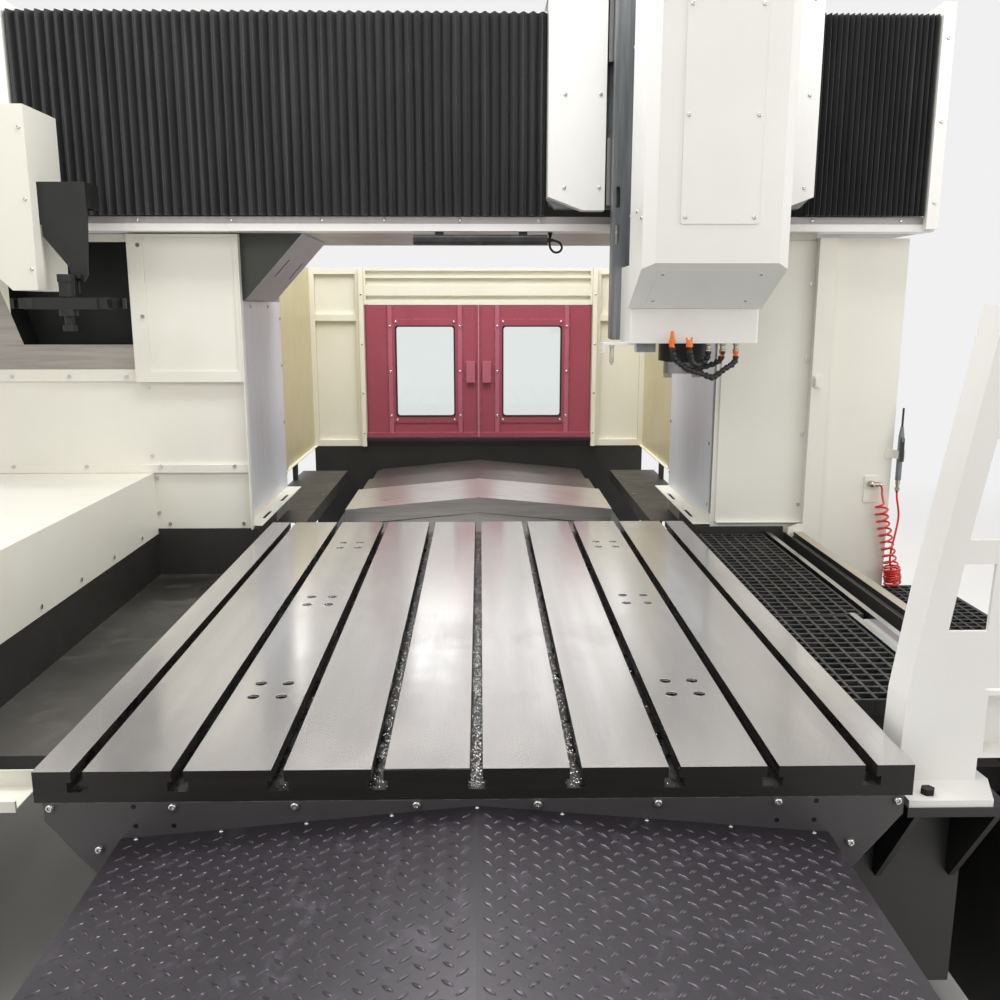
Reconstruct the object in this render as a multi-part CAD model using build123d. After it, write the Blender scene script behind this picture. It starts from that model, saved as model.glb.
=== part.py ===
from build123d import *
import math
import os

# Bridge type machining centre with a travelling table, in millimetres.
# X runs to the right across the table, Y to the rear along the bed, Z up from the floor.
# The origin is on the floor under the spindle line, half way along the bed.

# table
TABLE_W = 1600.0
TABLE_L = 2200.0
TABLE_TOP = 900.0
TABLE_REST = -734.0
SLAB = 60.0
BODY_INSET = 15.0
BODY_STRAIGHT = 36.0
TABLE_BASE = 660.0
BODY_FOOT = 640.0
SLOT_COUNT = 9
SLOT_PITCH = 180.0
SLOT_NECK = 22.0
SLOT_HEAD = 38.0
SLOT_NECK_DEPTH = 22.0
SLOT_DEPTH = 40.0
LIFT_HOLE_R = 12.5
LIFT_HOLE_DEEP = 45.0

# bed, columns and beam
BED_HALF = 2900.0
BED_W = 1560.0
BED_TOP = 560.0
FOOT_H = 60.0
RAIL_X = 550.0
RAIL_W = 53.0
RAIL_H = 48.0
BLOCK_H = 80.0
BLOCK_W = 140.0
BLOCK_L = 260.0
COLUMN_IN = 905.0
COLUMN_OUT = 1255.0
COLUMN_FRONT = 350.0
COLUMN_BACK = 1250.0
BEAM_BASE = 1985.0
BEAM_TOP = 2700.0
BEAM_HALF = 1640.0
END_POST_W = 43.0
BEAM_FRONT = 330.0
BEAM_BACK = 1130.0
BEAM_RAIL_Z = (2140.0, 2600.0)
SCREW_Z = 2370.0

# saddle and head
HEAD_X = 704.0
SADDLE_W = 920.0
SADDLE_BASE = 2045.0
SADDLE_TOP = 2760.0
SADDLE_FRONT = 180.0
COVER_HALF = 217.0
COVER_FRONT = -477.0
COVER_CHAMFER = 35.0
COVER_FRONT_BASE = 1843.0
LOWER_FRONT = -180.0
LOWER_TOP = 1713.0
LOWER_BASE = 1603.0
NOSE_Z = 1498.0
SPINDLE_R = 64.0
TAPER_R = 34.925
TAPER_RATIO = 7.0 / 24.0

# sheet metal and clearances
SHEET = 3.0
GAP = 1.0
RUN = 0.05
WALL_Y = 346.0
GRATE_X = TABLE_W / 2 + 12.0
PLEAT_END = BEAM_HALF - END_POST_W
SIDE_X = 1255.0
OUTER_X = 1826.0
WING_X = 1035.0
REAR_Y = BED_HALF + 32.0
DECK_Z = 780.0
PAN_Z = 700.0
HEM_Z = 863.0
LEDGE_Z = 1102.0

PARTS = {}


def keep(name, shape):
    # pieces kept under one name share one file as separate solids
    PARTS.setdefault(name, []).extend(shape.solids())


def box(x0, x1, y0, y1, z0, z1):
    return Pos((x0 + x1) / 2, (y0 + y1) / 2, (z0 + z1) / 2) * Box(x1 - x0, y1 - y0, z1 - z0)


def along_y(points, y0, y1):
    face = Plane.XZ.offset(-y0) * make_face(Polyline(*points, close=True))
    return extrude(face, amount=-(y1 - y0))


def along_x(points, x0, x1):
    face = Plane.YZ.offset(x0) * make_face(Polyline(*points, close=True))
    return extrude(face, amount=x1 - x0)


def along_z(points, z0, z1):
    face = Plane.XY.offset(z0) * make_face(Polyline(*points, close=True))
    return extrude(face, amount=z1 - z0)


def group(items):
    return Compound(children=[solid for item in items for solid in item.solids()])


def flip(shape, x=0.0):
    return group(mirror(solid, about=Plane.YZ.offset(x)) for solid in shape.solids())


def rod_x(radius, x0, x1, y, z):
    return Pos((x0 + x1) / 2, y, z) * Rot(0, 90, 0) * Cylinder(radius, x1 - x0)


def rod_y(radius, y0, y1, x, z):
    return Pos(x, (y0 + y1) / 2, z) * Rot(90, 0, 0) * Cylinder(radius, y1 - y0)


def rod_z(radius, z0, z1, x, y):
    return Pos(x, y, (z0 + z1) / 2) * Cylinder(radius, z1 - z0)


def cap_screw(radius, height, socket):
    head = Cylinder(radius, height, align=(Align.CENTER, Align.CENTER, Align.MIN))
    head -= Pos(0, 0, height - height * 0.55) * extrude(RegularPolygon(socket, 6), amount=height)
    return head


# table casting with its slots
def slot_cutter():
    neck = SLOT_NECK / 2
    head = SLOT_HEAD / 2
    top = TABLE_TOP + 1
    shoulder = TABLE_TOP - SLOT_NECK_DEPTH
    floor = TABLE_TOP - SLOT_DEPTH
    profile = [(-neck, top), (neck, top), (neck, shoulder), (head, shoulder)]
    profile += [(head, floor), (-head, floor), (-head, shoulder), (-neck, shoulder)]
    return along_y(profile, TABLE_REST - TABLE_L / 2 - 1, TABLE_REST + TABLE_L / 2 + 1)


def table_profile(inset):
    slab = TABLE_W / 2
    body = slab - BODY_INSET - inset
    step = TABLE_TOP - SLAB
    waist = step - BODY_STRAIGHT
    foot = BODY_FOOT - inset
    half = [(slab, TABLE_TOP), (slab, step), (body, step), (body, waist), (foot, TABLE_BASE)]
    return half + [(-x, z) for x, z in reversed(half)]


table_front = TABLE_REST - TABLE_L / 2
table_back = TABLE_REST + TABLE_L / 2
table = along_y(table_profile(0), table_front, table_back)
plate_room = [(-TABLE_W, TABLE_TOP - SLAB), (TABLE_W, TABLE_TOP - SLAB), (TABLE_W, 0), (-TABLE_W, 0)]
table -= along_y(plate_room, table_front - 1, table_front + 10)
table -= along_y(plate_room, table_back - 10, table_back + 1)
# rib pockets under the casting
pocket = box(-235, 235, -225, 225, TABLE_BASE - 1, TABLE_TOP - SLAB - 25)
pocket = fillet(pocket.edges().filter_by(Axis.Z), 40)
for row in range(4):
    for side in (-1, 1):
        table -= Pos(side * 262, TABLE_REST + (row - 1.5) * 520, 0) * pocket
for index in range(SLOT_COUNT):
    table -= Pos((index - (SLOT_COUNT - 1) / 2) * SLOT_PITCH, 0, 0) * slot_cutter()
lift_hole = Cylinder(LIFT_HOLE_R, LIFT_HOLE_DEEP * 2)
for column_x in (-450, 450):
    for row_y in (-700, 0, 700):
        for dx in (-30, 30):
            for dy in (-40, 40):
                table -= Pos(column_x + dx, TABLE_REST + row_y + dy, TABLE_TOP) * lift_hole
table = chamfer(table.faces().sort_by(Axis.Z)[-1].outer_wire().edges(), 2)
keep("table", table)


# end plates with tapered lower corners, and their screws
def end_plate(y0):
    top = TABLE_TOP - SLAB
    half = [(785, top), (785, top - BODY_STRAIGHT), (700, top - 142), (640, TABLE_BASE)]
    plate = along_y(half + [(-x, z) for x, z in reversed(half)], y0, y0 + 10)
    return plate


keep("table_end_plates", group([end_plate(table_front), end_plate(table_back - 10)]))
SCREW_PITCH = 220.6
PLATE_SCREW_R = 8.0
plate_screws = []
for index in range(8):
    x = (index - 3.5) * SCREW_PITCH
    head = cap_screw(PLATE_SCREW_R, 6, 4)
    plate_screws.append(Pos(x, table_front, TABLE_TOP - 69) * Rot(90, 0, 0) * head)
    plate_screws.append(Pos(x, table_back, TABLE_TOP - 69) * Rot(-90, 0, 0) * head)
for x in (-690, 690):
    plate_screws.append(Pos(x, table_front, TABLE_TOP - 152) * Rot(90, 0, 0) * cap_screw(PLATE_SCREW_R, 6, 4))
keep("table_end_plates", group(plate_screws))


# bed casting: ribbed, with raised rail seats and a trough for the screw
rail_base = TABLE_BASE - BLOCK_H
seat = rail_base
half = [(BED_W / 2, FOOT_H), (BED_W / 2, BED_TOP), (RAIL_X + 65, BED_TOP), (RAIL_X + 60, seat)]
half += [(RAIL_X - 60, seat), (RAIL_X - 65, BED_TOP), (210, BED_TOP), (190, 400)]
profile = [(x, z) for x, z in half] + [(-x, z) for x, z in reversed(half)]
bed = along_y(profile, -BED_HALF, BED_HALF)
cell = box(-280, 280, -300, 300, FOOT_H - 1, 350)
cell = fillet(cell.edges().filter_by(Axis.Z), 60)
for row in range(8):
    for side in (-1, 1):
        bed -= Pos(side * 370, (row - 3.5) * 700, 0) * cell
# clean out holes along both flanks
core = Rot(0, 90, 0) * Cylinder(95, BED_W + 10)
for row in range(7):
    bed -= Pos(0, (row - 3) * 700, 215) * core
keep("bed_casting", bed)


def levelling_foot(x, y):
    pad = rod_z(85, 0, 22, x, y) + rod_z(30, 22, FOOT_H - 14, x, y)
    pad += Pos(x, y, FOOT_H - 14) * extrude(RegularPolygon(46, 6), amount=14)
    return pad


feet = [levelling_foot(sx * 700, (row - 3) * 900) for row in range(7) for sx in (-1, 1)]
feet += [levelling_foot(sx * 1080, y) for sx in (-1, 1) for y in (470, 1130)]
keep("levelling_feet", group(feet))


def guide_rail():
    w = RAIL_W / 2
    waist = w * 0.72
    half_side = [(w, 0), (w, 16), (waist, 22), (waist, 32), (w, 38), (w, RAIL_H)]
    return half_side + [(-x, z) for x, z in reversed(half_side)]


def rail_along_y(x, z0, y0, y1):
    return along_y([(x + px, z0 + pz) for px, pz in guide_rail()], y0, y1)


def rail_along_x(y_back, z, x0, x1):
    return along_x([(y_back - pz, z + px) for px, pz in guide_rail()], x0, x1)


keep("rails_and_screws", group(rail_along_y(side * RAIL_X, rail_base, -2860, 2860) for side in (-1, 1)))


def block_profile():
    # the carriage wraps the rail head with a running gap
    w = RAIL_W / 2 + RUN
    waist = RAIL_W / 2 * 0.72 + RUN
    half_side = [(BLOCK_W / 2, 14), (BLOCK_W / 2, BLOCK_H), (0, BLOCK_H), (0, RAIL_H + RUN)]
    half_side += [(w, RAIL_H + RUN), (w, 38 - 2 * RUN), (waist, 32 - 2 * RUN)]
    half_side += [(waist, 22 + 2 * RUN), (w, 16 + 2 * RUN), (w, 14)]
    return half_side


def block_pair(profile_fn):
    right = profile_fn(block_profile())
    left = profile_fn([(-x, z) for x, z in block_profile()])
    return right + left


table_blocks = []
for side in (-1, 1):
    for y in (-900, 0, 900):
        yc = TABLE_REST + y
        def place(points, x=side * RAIL_X, yc=yc):
            shifted = [(x + px, rail_base + pz) for px, pz in points]
            return along_y(shifted, yc - BLOCK_L / 2, yc + BLOCK_L / 2)
        table_blocks.append(block_pair(place))
keep("table_carriages", group(table_blocks))

# table drive: a long fixed screw, with a driven nut unit under the table
DRIVE_Z = 500.0
screw_body = rod_y(40, -2780, 2780, 0, DRIVE_Z)
for end in (-1, 1):
    pedestal = box(-120, 120, end * 2790 - 60, end * 2790 + 60, 400, 580)
    pedestal = fillet(pedestal.edges().filter_by(Axis.Y), 20)
    screw_body += pedestal
keep("rails_and_screws", screw_body)
nut = rod_y(95, TABLE_REST - 150, TABLE_REST + 150, 0, DRIVE_Z)
nut += box(-130, 130, TABLE_REST - 90, TABLE_REST + 90, DRIVE_Z + 20, TABLE_BASE)
nut += rod_y(70, TABLE_REST + 90, TABLE_REST + 420, 95, 590)
nut -= rod_y(40 + RUN, TABLE_REST - 500, TABLE_REST + 500, 0, DRIVE_Z)
nut -= box(-300, 300, TABLE_REST + 150, TABLE_REST + 500, TABLE_BASE, TABLE_BASE + 60)
keep("table_carriages", nut)


# columns: hollow castings with core openings on the outer flank
def column():
    foot = [(BED_W / 2, FOOT_H), (COLUMN_OUT, FOOT_H), (COLUMN_OUT, BEAM_BASE), (COLUMN_IN, BEAM_BASE)]
    foot += [(COLUMN_IN, 640), (COLUMN_IN - 60, 560), (BED_W / 2, 520)]
    shape = along_y(foot, COLUMN_FRONT, COLUMN_BACK)
    void = box(COLUMN_IN + 45, COLUMN_OUT - 45, COLUMN_FRONT + 45, COLUMN_BACK - 45, 400, BEAM_BASE - 60)
    shape -= fillet(void.edges().filter_by(Axis.Z), 60)
    for z in (760, 1220, 1660):
        window = Pos(COLUMN_OUT, (COLUMN_FRONT + COLUMN_BACK) / 2, z) * Rot(0, 90, 0)
        shape -= window * extrude(RectangleRounded(300, 420, 90), amount=60, both=True)
    return shape


keep("right_column", column())
keep("left_column", flip(column()))


# crossbeam: rail seats at top and bottom of the front face, recess for the screw between
def crossbeam():
    low, high = BEAM_RAIL_Z
    back = BEAM_FRONT + 40
    pts = [(BEAM_FRONT, low - 55), (BEAM_FRONT, low + 55), (back, low + 75), (back, high - 75)]
    pts += [(BEAM_FRONT, high - 55), (BEAM_FRONT, high + 55), (back, BEAM_TOP)]
    pts += [(BEAM_BACK - 80, BEAM_TOP), (BEAM_BACK, BEAM_TOP - 120), (BEAM_BACK, BEAM_BASE)]
    pts += [(back, BEAM_BASE), (BEAM_FRONT + 10, low - 75)]
    shape = along_x(pts, -BEAM_HALF, BEAM_HALF)
    hollow = [(back + 50, BEAM_BASE + 50), (back + 50, BEAM_TOP - 60), (BEAM_BACK - 90, BEAM_TOP - 60)]
    hollow += [(BEAM_BACK - 50, BEAM_TOP - 150), (BEAM_BACK - 50, BEAM_BASE + 50)]
    for index in range(5):
        x = (index - 2) * 640
        shape -= along_x(hollow, x - 290, x + 290)
        hole = Pos(x, BEAM_BACK, 2320) * Rot(90, 0, 0)
        shape -= hole * extrude(RectangleRounded(360, 300, 100), amount=70, both=True)
    return shape


keep("crossbeam", crossbeam())
rails = [rail_along_x(BEAM_FRONT, z, -BEAM_HALF + 15, BEAM_HALF - 15) for z in BEAM_RAIL_Z]
keep("rails_and_screws", group(rails))
beam_screw = rod_x(31.5, -BEAM_HALF + 60, BEAM_HALF - 60, BEAM_FRONT - 20, SCREW_Z)
for end in (-1, 1):
    bearing = box(end * (BEAM_HALF - 80) - 35, end * (BEAM_HALF - 80) + 35, BEAM_FRONT - 75, BEAM_FRONT + 40, SCREW_Z - 70, SCREW_Z + 70)
    beam_screw += fillet(bearing.edges().filter_by(Axis.X), 14)
keep("rails_and_screws", beam_screw)

# folded strip cover under the bellows, lower lip and end posts of the beam
STRIP_Y = 236.0
strip = [(STRIP_Y + 8, 2033), (STRIP_Y + 8, 2008), (STRIP_Y, 2008), (STRIP_Y, 1983), (COLUMN_FRONT, 1983)]
strip += [(COLUMN_FRONT, 1983 + SHEET), (STRIP_Y + SHEET, 1983 + SHEET), (STRIP_Y + SHEET, 2008 - SHEET)]
strip += [(STRIP_Y + 8 + SHEET, 2008 - SHEET), (STRIP_Y + 8 + SHEET, 2033)]
keep("beam_covers", along_x(strip, -BEAM_HALF, BEAM_HALF))
post = box(PLEAT_END, BEAM_HALF, 205, 244, 1990, 2735)
post += box(PLEAT_END, BEAM_HALF, 244, BEAM_FRONT + 110, BEAM_TOP, 2735)
post -= box(PLEAT_END - 7, BEAM_HALF + 5, 239, 251, 1980, 2040)
keep("beam_covers", group([post, flip(post)]))

# corner braces between the columns and the beam: two gussets joined by a slotted slanting soffit
BRACE_FOOT_X = -860.0
BRACE_TOP_X = -640.0
BRACE_Z = 1745.0
BRACE_TOP = BEAM_BASE - 2.0
BRACE_FRONT = COLUMN_FRONT + 2.0
BRACE_LENGTH = 578.0
BRACE_SHEET = 6.0


def corner_brace():
    gusset = [(-COLUMN_IN, BRACE_Z), (-COLUMN_IN, BRACE_TOP), (BRACE_TOP_X, BRACE_TOP), (BRACE_FOOT_X, BRACE_Z)]
    back = BRACE_FRONT + BRACE_LENGTH
    brace = along_y(gusset, BRACE_FRONT, BRACE_FRONT + BRACE_SHEET)
    brace += along_y(gusset, back - BRACE_SHEET, back)
    rise, run = BRACE_TOP - BRACE_Z, BRACE_TOP_X - BRACE_FOOT_X
    inset = BRACE_SHEET * math.hypot(rise, run) / rise
    soffit = [(BRACE_FOOT_X, BRACE_Z), (BRACE_TOP_X, BRACE_TOP), (BRACE_TOP_X - inset, BRACE_TOP)]
    brace += along_y(soffit + [(BRACE_FOOT_X - inset, BRACE_Z)], BRACE_FRONT, back)
    brace += box(-COLUMN_IN, BRACE_FOOT_X - 2, BRACE_FRONT, back, BRACE_Z, BRACE_Z + SHEET)
    slot = extrude(SlotOverall(90, 26), amount=30, both=True)
    tilt = Rot(0, -math.degrees(math.atan2(rise, run)), 0)
    middle = ((BRACE_FOOT_X + BRACE_TOP_X) / 2, (BRACE_Z + BRACE_TOP) / 2)
    for y in (BRACE_FRONT + 165, BRACE_FRONT + 470):
        brace -= Pos(middle[0], y, middle[1]) * tilt * slot
    return brace


keep("column_liners", corner_brace())
keep("column_liners", flip(corner_brace()))

# inner column plates with folded foot angles
def inner_plate(y0, y1):
    plate = box(-COLUMN_IN, -COLUMN_IN + SHEET, y0, y1, 907, 1742)
    foot = along_y([(-COLUMN_IN + SHEET, 893), (-838, 893), (-838, 890), (-COLUMN_IN, 890),
                    (-COLUMN_IN, 930), (-COLUMN_IN + SHEET, 930)], y0 - 30, y1)
    for y in (y0 + 180, y0 + 560):
        foot -= Pos(-862, y, 891) * extrude(SlotOverall(150, 14, rotation=90), amount=20, both=True)
    return plate + foot


keep("column_liners", inner_plate(380, 1235))
keep("column_liners", flip(inner_plate(380, 1235)))


# left front wall: folded panels with the tool change opening
def left_wall():
    wall = box(-OUTER_X, -868, WALL_Y - SHEET, WALL_Y, LEDGE_Z, 1978)
    opening = [(-1266, 1583), (-1266, 1951), (-1722, 1951), (-1722, 1696), (-1686, 1583)]
    wall -= along_y(opening, WALL_Y - 40, WALL_Y + 10)
    lower = box(-1240 + GAP, -868, WALL_Y - SHEET, WALL_Y, HEM_Z + 20, LEDGE_Z)
    ledge = along_x([(WALL_Y - SHEET, 1102), (WALL_Y - 16, 1102), (WALL_Y - 16, 1133), (WALL_Y - SHEET, 1133)],
                    -OUTER_X, -868)
    flange = box(-OUTER_X, -1272, WALL_Y - 14, WALL_Y - SHEET, 1448, 1492)
    frame = box(-1272, -872, WALL_Y - 30, WALL_Y - SHEET, 1446, 1978)
    recess = box(-1214, -888, WALL_Y - 31, WALL_Y - 24, 1486, 1966)
    frame -= fillet(recess.edges().filter_by(Axis.Y), 6)
    frame -= box(-1222, -884, WALL_Y - 18, WALL_Y - SHEET, 1480, 1970)
    side = box(-OUTER_X, -OUTER_X + SHEET, WALL_Y - SHEET, WALL_Y + 200, LEDGE_Z, 1978)
    trim = box(-872, -868, WALL_Y - 36, WALL_Y, HEM_Z + 20, 1978)
    return wall + lower + ledge + flange + frame + side + trim


keep("left_front_wall", left_wall())

# low guard beside the table with a deck folded outward
guard = [(-1247 - GAP, 700), (-1244 - GAP, 700), (-1244 - GAP, HEM_Z), (-1237, HEM_Z), (-1237, LEDGE_Z - GAP)]
guard += [(-OUTER_X, LEDGE_Z - GAP), (-OUTER_X, 60), (-OUTER_X + SHEET, 60), (-OUTER_X + SHEET, LEDGE_Z - 4), (-1240, LEDGE_Z - 4)]
guard += [(-1240, HEM_Z + SHEET), (-1247 - GAP, HEM_Z + SHEET)]
GUARD_END = -1640.0
keep("left_front_wall", along_y(guard, GUARD_END + SHEET, WALL_Y - SHEET))
keep("left_front_wall", box(-OUTER_X, -1249, GUARD_END, GUARD_END + SHEET, 60, LEDGE_Z - GAP))
# dark lining box behind the tool change opening
def lining():
    pts = [(-1262, 1579), (-1262, 1955), (-1726, 1955), (-1726, 1695), (-1689, 1579)]
    inner = [(-1265, 1582), (-1265, 1952), (-1723, 1952), (-1723, 1696), (-1687, 1582)]
    tray = along_y(pts, WALL_Y, WALL_Y + 150)
    tray -= along_y(inner, WALL_Y - 1, WALL_Y + 147)
    return tray


keep("changer_lining", lining())

# right side: cover of the column's front, corner post and outer panel, each folded from sheet
CORNER_Y = 306.0
CREASE_X = 1322.0
PANEL_X = 1599.0
PANEL_TOP = 1967.0
POST_BASE = 820.0
STEP_TOP = 640.0
SEAT = 0.3
cover = box(922, SIDE_X, WALL_Y - SHEET, WALL_Y, 899, 1958)
cover += box(922, 925, WALL_Y - SHEET, COLUMN_FRONT, 899, 1958)
cover += box(925, SIDE_X, WALL_Y - 18, WALL_Y - SHEET, 899, 902)
keep("right_wall", cover)


def corner_post():
    x0, x1 = SIDE_X + SEAT, CREASE_X
    z0 = STEP_TOP + SEAT
    face = [(x0, PANEL_TOP), (x1, PANEL_TOP), (x1, POST_BASE), (1199, POST_BASE), (1199, 884), (1236, 900), (x0, 900)]
    post = along_y(face, CORNER_Y, CORNER_Y + SHEET)
    post += box(x0, x0 + SHEET, CORNER_Y, COLUMN_FRONT + 70, POST_BASE, PANEL_TOP)
    post += box(x1 - SHEET, x1, CORNER_Y, WALL_Y, z0, PANEL_TOP)
    post += box(x1 - SHEET, PANEL_X, WALL_Y - SHEET, WALL_Y, z0, PANEL_TOP)
    post += box(PANEL_X - SHEET, PANEL_X, WALL_Y - SHEET, WALL_Y + 60, z0, PANEL_TOP)
    return post


keep("right_wall", corner_post())
catch = box(1263, 1288, CORNER_Y - 12, CORNER_Y, 1425, 1466) + box(1263, 1271, CORNER_Y - 26, CORNER_Y, 1434, 1457)
keep("right_wall", fillet(catch.edges().filter_by(Axis.Y), 3))


PIN_R = 6.0
PIN_X = 688.0
PIN_Y = REAR_Y - 14


# rear wall with the door opening, posts, folded rails and lintel recesses
def rear_wall():
    y0 = REAR_Y - 30
    wall = box(-WING_X, WING_X, y0, REAR_Y, 866, 1957)
    wall -= box(-704, 704, y0 - 5, REAR_Y + 5, 860, 1739)
    for z0, z1 in ((1768, 1792), (1854, 1897), (1910, 1940)):
        wall -= box(-690, 690, y0 - 5, REAR_Y - 8, z0, z1)
    for side in (-1, 1):
        wall -= rod_z(PIN_R + RUN, 1700, 1760, side * PIN_X, PIN_Y)
        wall += box(side * 718 - 14, side * 718 + 14, y0 - 26, y0, 866, 1957)
        panel = box(side * 880 - 125, side * 880 + 125, y0 - 5, REAR_Y - 8, 905, 1640)
        wall -= panel
        wall -= box(side * 880 - 125, side * 880 + 125, y0 - 5, REAR_Y - 8, 1680, 1920)
    return wall


keep("rear_wall", rear_wall())
sill = along_x([(REAR_Y - 30, 866), (REAR_Y, 866), (REAR_Y, 912), (REAR_Y - 6, 918), (REAR_Y - 60, 918),
                (REAR_Y - 60, 900), (REAR_Y - 57, 900), (REAR_Y - 57, 914), (REAR_Y - 30, 914)], -703, 703)
sill += box(-WING_X, WING_X, BED_HALF, REAR_Y, 60, 866)
for side in (-1, 1):
    sill -= rod_z(PIN_R + RUN, 899, 930, side * PIN_X, PIN_Y)
keep("rear_sill", sill)


def rear_wing():
    y0 = COLUMN_BACK
    wing = box(WING_X, WING_X + SHEET, y0, REAR_Y, 866, 1957)
    wing += box(WING_X - 20, WING_X, y0, REAR_Y - 30, 866, 869)
    wing += box(COLUMN_IN + 12, WING_X, y0, y0 + SHEET, 866, 1957)
    wing += box(WING_X - 14, WING_X, y0 + 600, y0 + 660, 869, 1957)
    return wing


keep("rear_wall", rear_wing())
keep("rear_wall", flip(rear_wing()))


# dark decks beside the rear covers, stepped end and rounded corner
def deck():
    outline = [(775, COLUMN_BACK - 300), (775, 2443), (COLUMN_OUT - 220, 2443), (1035, 2200)]
    outline += [(1035, COLUMN_BACK), (COLUMN_IN, COLUMN_BACK), (COLUMN_IN, COLUMN_BACK - 300)]
    top = along_z(outline, DECK_Z - SHEET, DECK_Z)
    lip = box(775, 778, COLUMN_BACK - 300, 2443, DECK_Z - 60, DECK_Z)
    legs = box(990, 1035, 1300, 1360, 0, DECK_Z) + box(990, 1035, 2100, 2160, 0, DECK_Z)
    riser = box(WING_X - 20, WING_X, 1300, 1360, DECK_Z, 866) + box(WING_X - 20, WING_X, 2100, 2160, DECK_Z, 866)
    return top + lip + legs + riser


keep("chip_pans", deck())
keep("chip_pans", flip(deck()))

# chip pans along both sides of the table
PAN_FRONT = -1323.0


def pan(outer, y0, y1):
    floor = [(-outer, PAN_Z), (-outer + SHEET, PAN_Z), (-outer + SHEET, HEM_Z - 4), (-outer, HEM_Z - 4)]
    inner = BED_W / 2
    tray = box(-outer, -inner, y0, y1, PAN_Z - SHEET, PAN_Z)
    tray += along_y(floor, y0, y1)
    tray += box(-inner - SHEET, -inner, y0, y1, BED_TOP - 30, PAN_Z)
    tray += box(-outer, -inner - SHEET, y0, y0 + SHEET, PAN_Z - 60, PAN_Z)
    tray += box(-outer + SHEET, -850, y1 - SHEET, y1, PAN_Z, HEM_Z - 4)
    tray += box(-outer + 8, -850, y1 - SHEET, y1, HEM_Z - 4, HEM_Z + 20)
    return tray


keep("chip_pans", pan(1243, PAN_FRONT, WALL_Y - SHEET - GAP))
right_pan = flip(pan(1198, PAN_FRONT - 100, WALL_Y - SHEET - GAP))
keep("chip_pans", right_pan)
tail = box(-COLUMN_IN, -786, WALL_Y + 4, COLUMN_BACK - 302, PAN_Z - SHEET, PAN_Z)
tail += box(-COLUMN_IN, -COLUMN_IN + SHEET, WALL_Y + 4, COLUMN_BACK - 302, PAN_Z, 880)
keep("chip_pans", tail)
keep("chip_pans", flip(tail))


# moulded walkway grating with square cells, resting in the right pan
def grating(x0, x1, y0, y1, top, depth, pitch, bar):
    plate = box(x0, x1, y0, y1, top - depth, top)
    nx = int((x1 - x0 - bar) / pitch)
    ny = int((y1 - y0 - bar) / pitch)
    cell_x = (x1 - x0 - bar) / nx
    cell_y = (y1 - y0 - bar) / ny
    cutter = extrude(Rectangle(cell_x - bar, cell_y - bar), amount=depth * 3, both=True)
    centre = ((x0 + x1) / 2, (y0 + y1) / 2, top)
    cells = []
    spots = GridLocations(cell_x, cell_y, nx, ny)
    for spot in spots:
        cells.append(Pos(*centre) * spot * cutter)
    return plate - cells


GRATE_TOP = 862.0
walk = grating(GRATE_X, 1050, -1420, -780, GRATE_TOP, 38, 62, 12)
walk_far = grating(GRATE_X, 1100, -770, 300, GRATE_TOP, 38, 62, 12)
bearers = [box(GRATE_X, 1100, y, y + 12, PAN_Z, GRATE_TOP - 38) for y in (-760, -240, 280)]
bearers += [box(GRATE_X, 1050, y, y + 12, PAN_Z, GRATE_TOP - 38) for y in (-1400, -1000)]
keep("floor_gratings", group([walk, walk_far] + bearers))

# bright edge rails, light strips and sill beside the grating
rails_profile = [(1112, PAN_Z), (1118, PAN_Z), (1118, 852), (1130, 852), (1130, 868), (1112, 868)]
edge_rails = along_y(rails_profile, -1423 + SHEET + 2, 330)
near_rail = along_y([(x - 58, z) for x, z in rails_profile], -1418, -776)
edge_rails += near_rail + box(1058, 1114, -1418, -776, 846, 849)
keep("edge_rails", edge_rails)
sill_profile = [(1198, 60), (1198, 838), (1223, 850), (1223, 868), (SIDE_X, 868), (SIDE_X, 60)]
keep("side_sill", along_y(sill_profile, -1700, CORNER_Y - GAP) - box(1204, 1249, -1690, 292, 59, 826))

# outer step with its grating and frame
STEP_X0 = SIDE_X
step_grate = grating(STEP_X0 + 6, OUTER_X - 6, -1700, 340, STEP_TOP, 36, 62, 12)
keep("floor_gratings", step_grate)
step_frame = box(STEP_X0, OUTER_X, -1706, 346, 560, 604)
step_frame -= box(STEP_X0 + 44, OUTER_X - 44, -1660, 300, 559, 605)
rim = box(STEP_X0, OUTER_X, -1706, 346, 604, STEP_TOP) - box(STEP_X0 + 5, OUTER_X - 5, -1701, 341, 603, STEP_TOP + 1)
step_frame += rim
for x in (STEP_X0 + 6, OUTER_X - 50):
    for y in (-1700, -700, 296):
        step_frame += box(x, x + 44, y, y + 44, 0, 560)
keep("side_sill", step_frame)


# white fabricated front post: web plate with two windows, edge flange, gusset and foot
POST_Y = -1704.0
POST_FOOT = 806.0
BOLT_SPOTS = ((862, -1760), (940, -1650))


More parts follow.
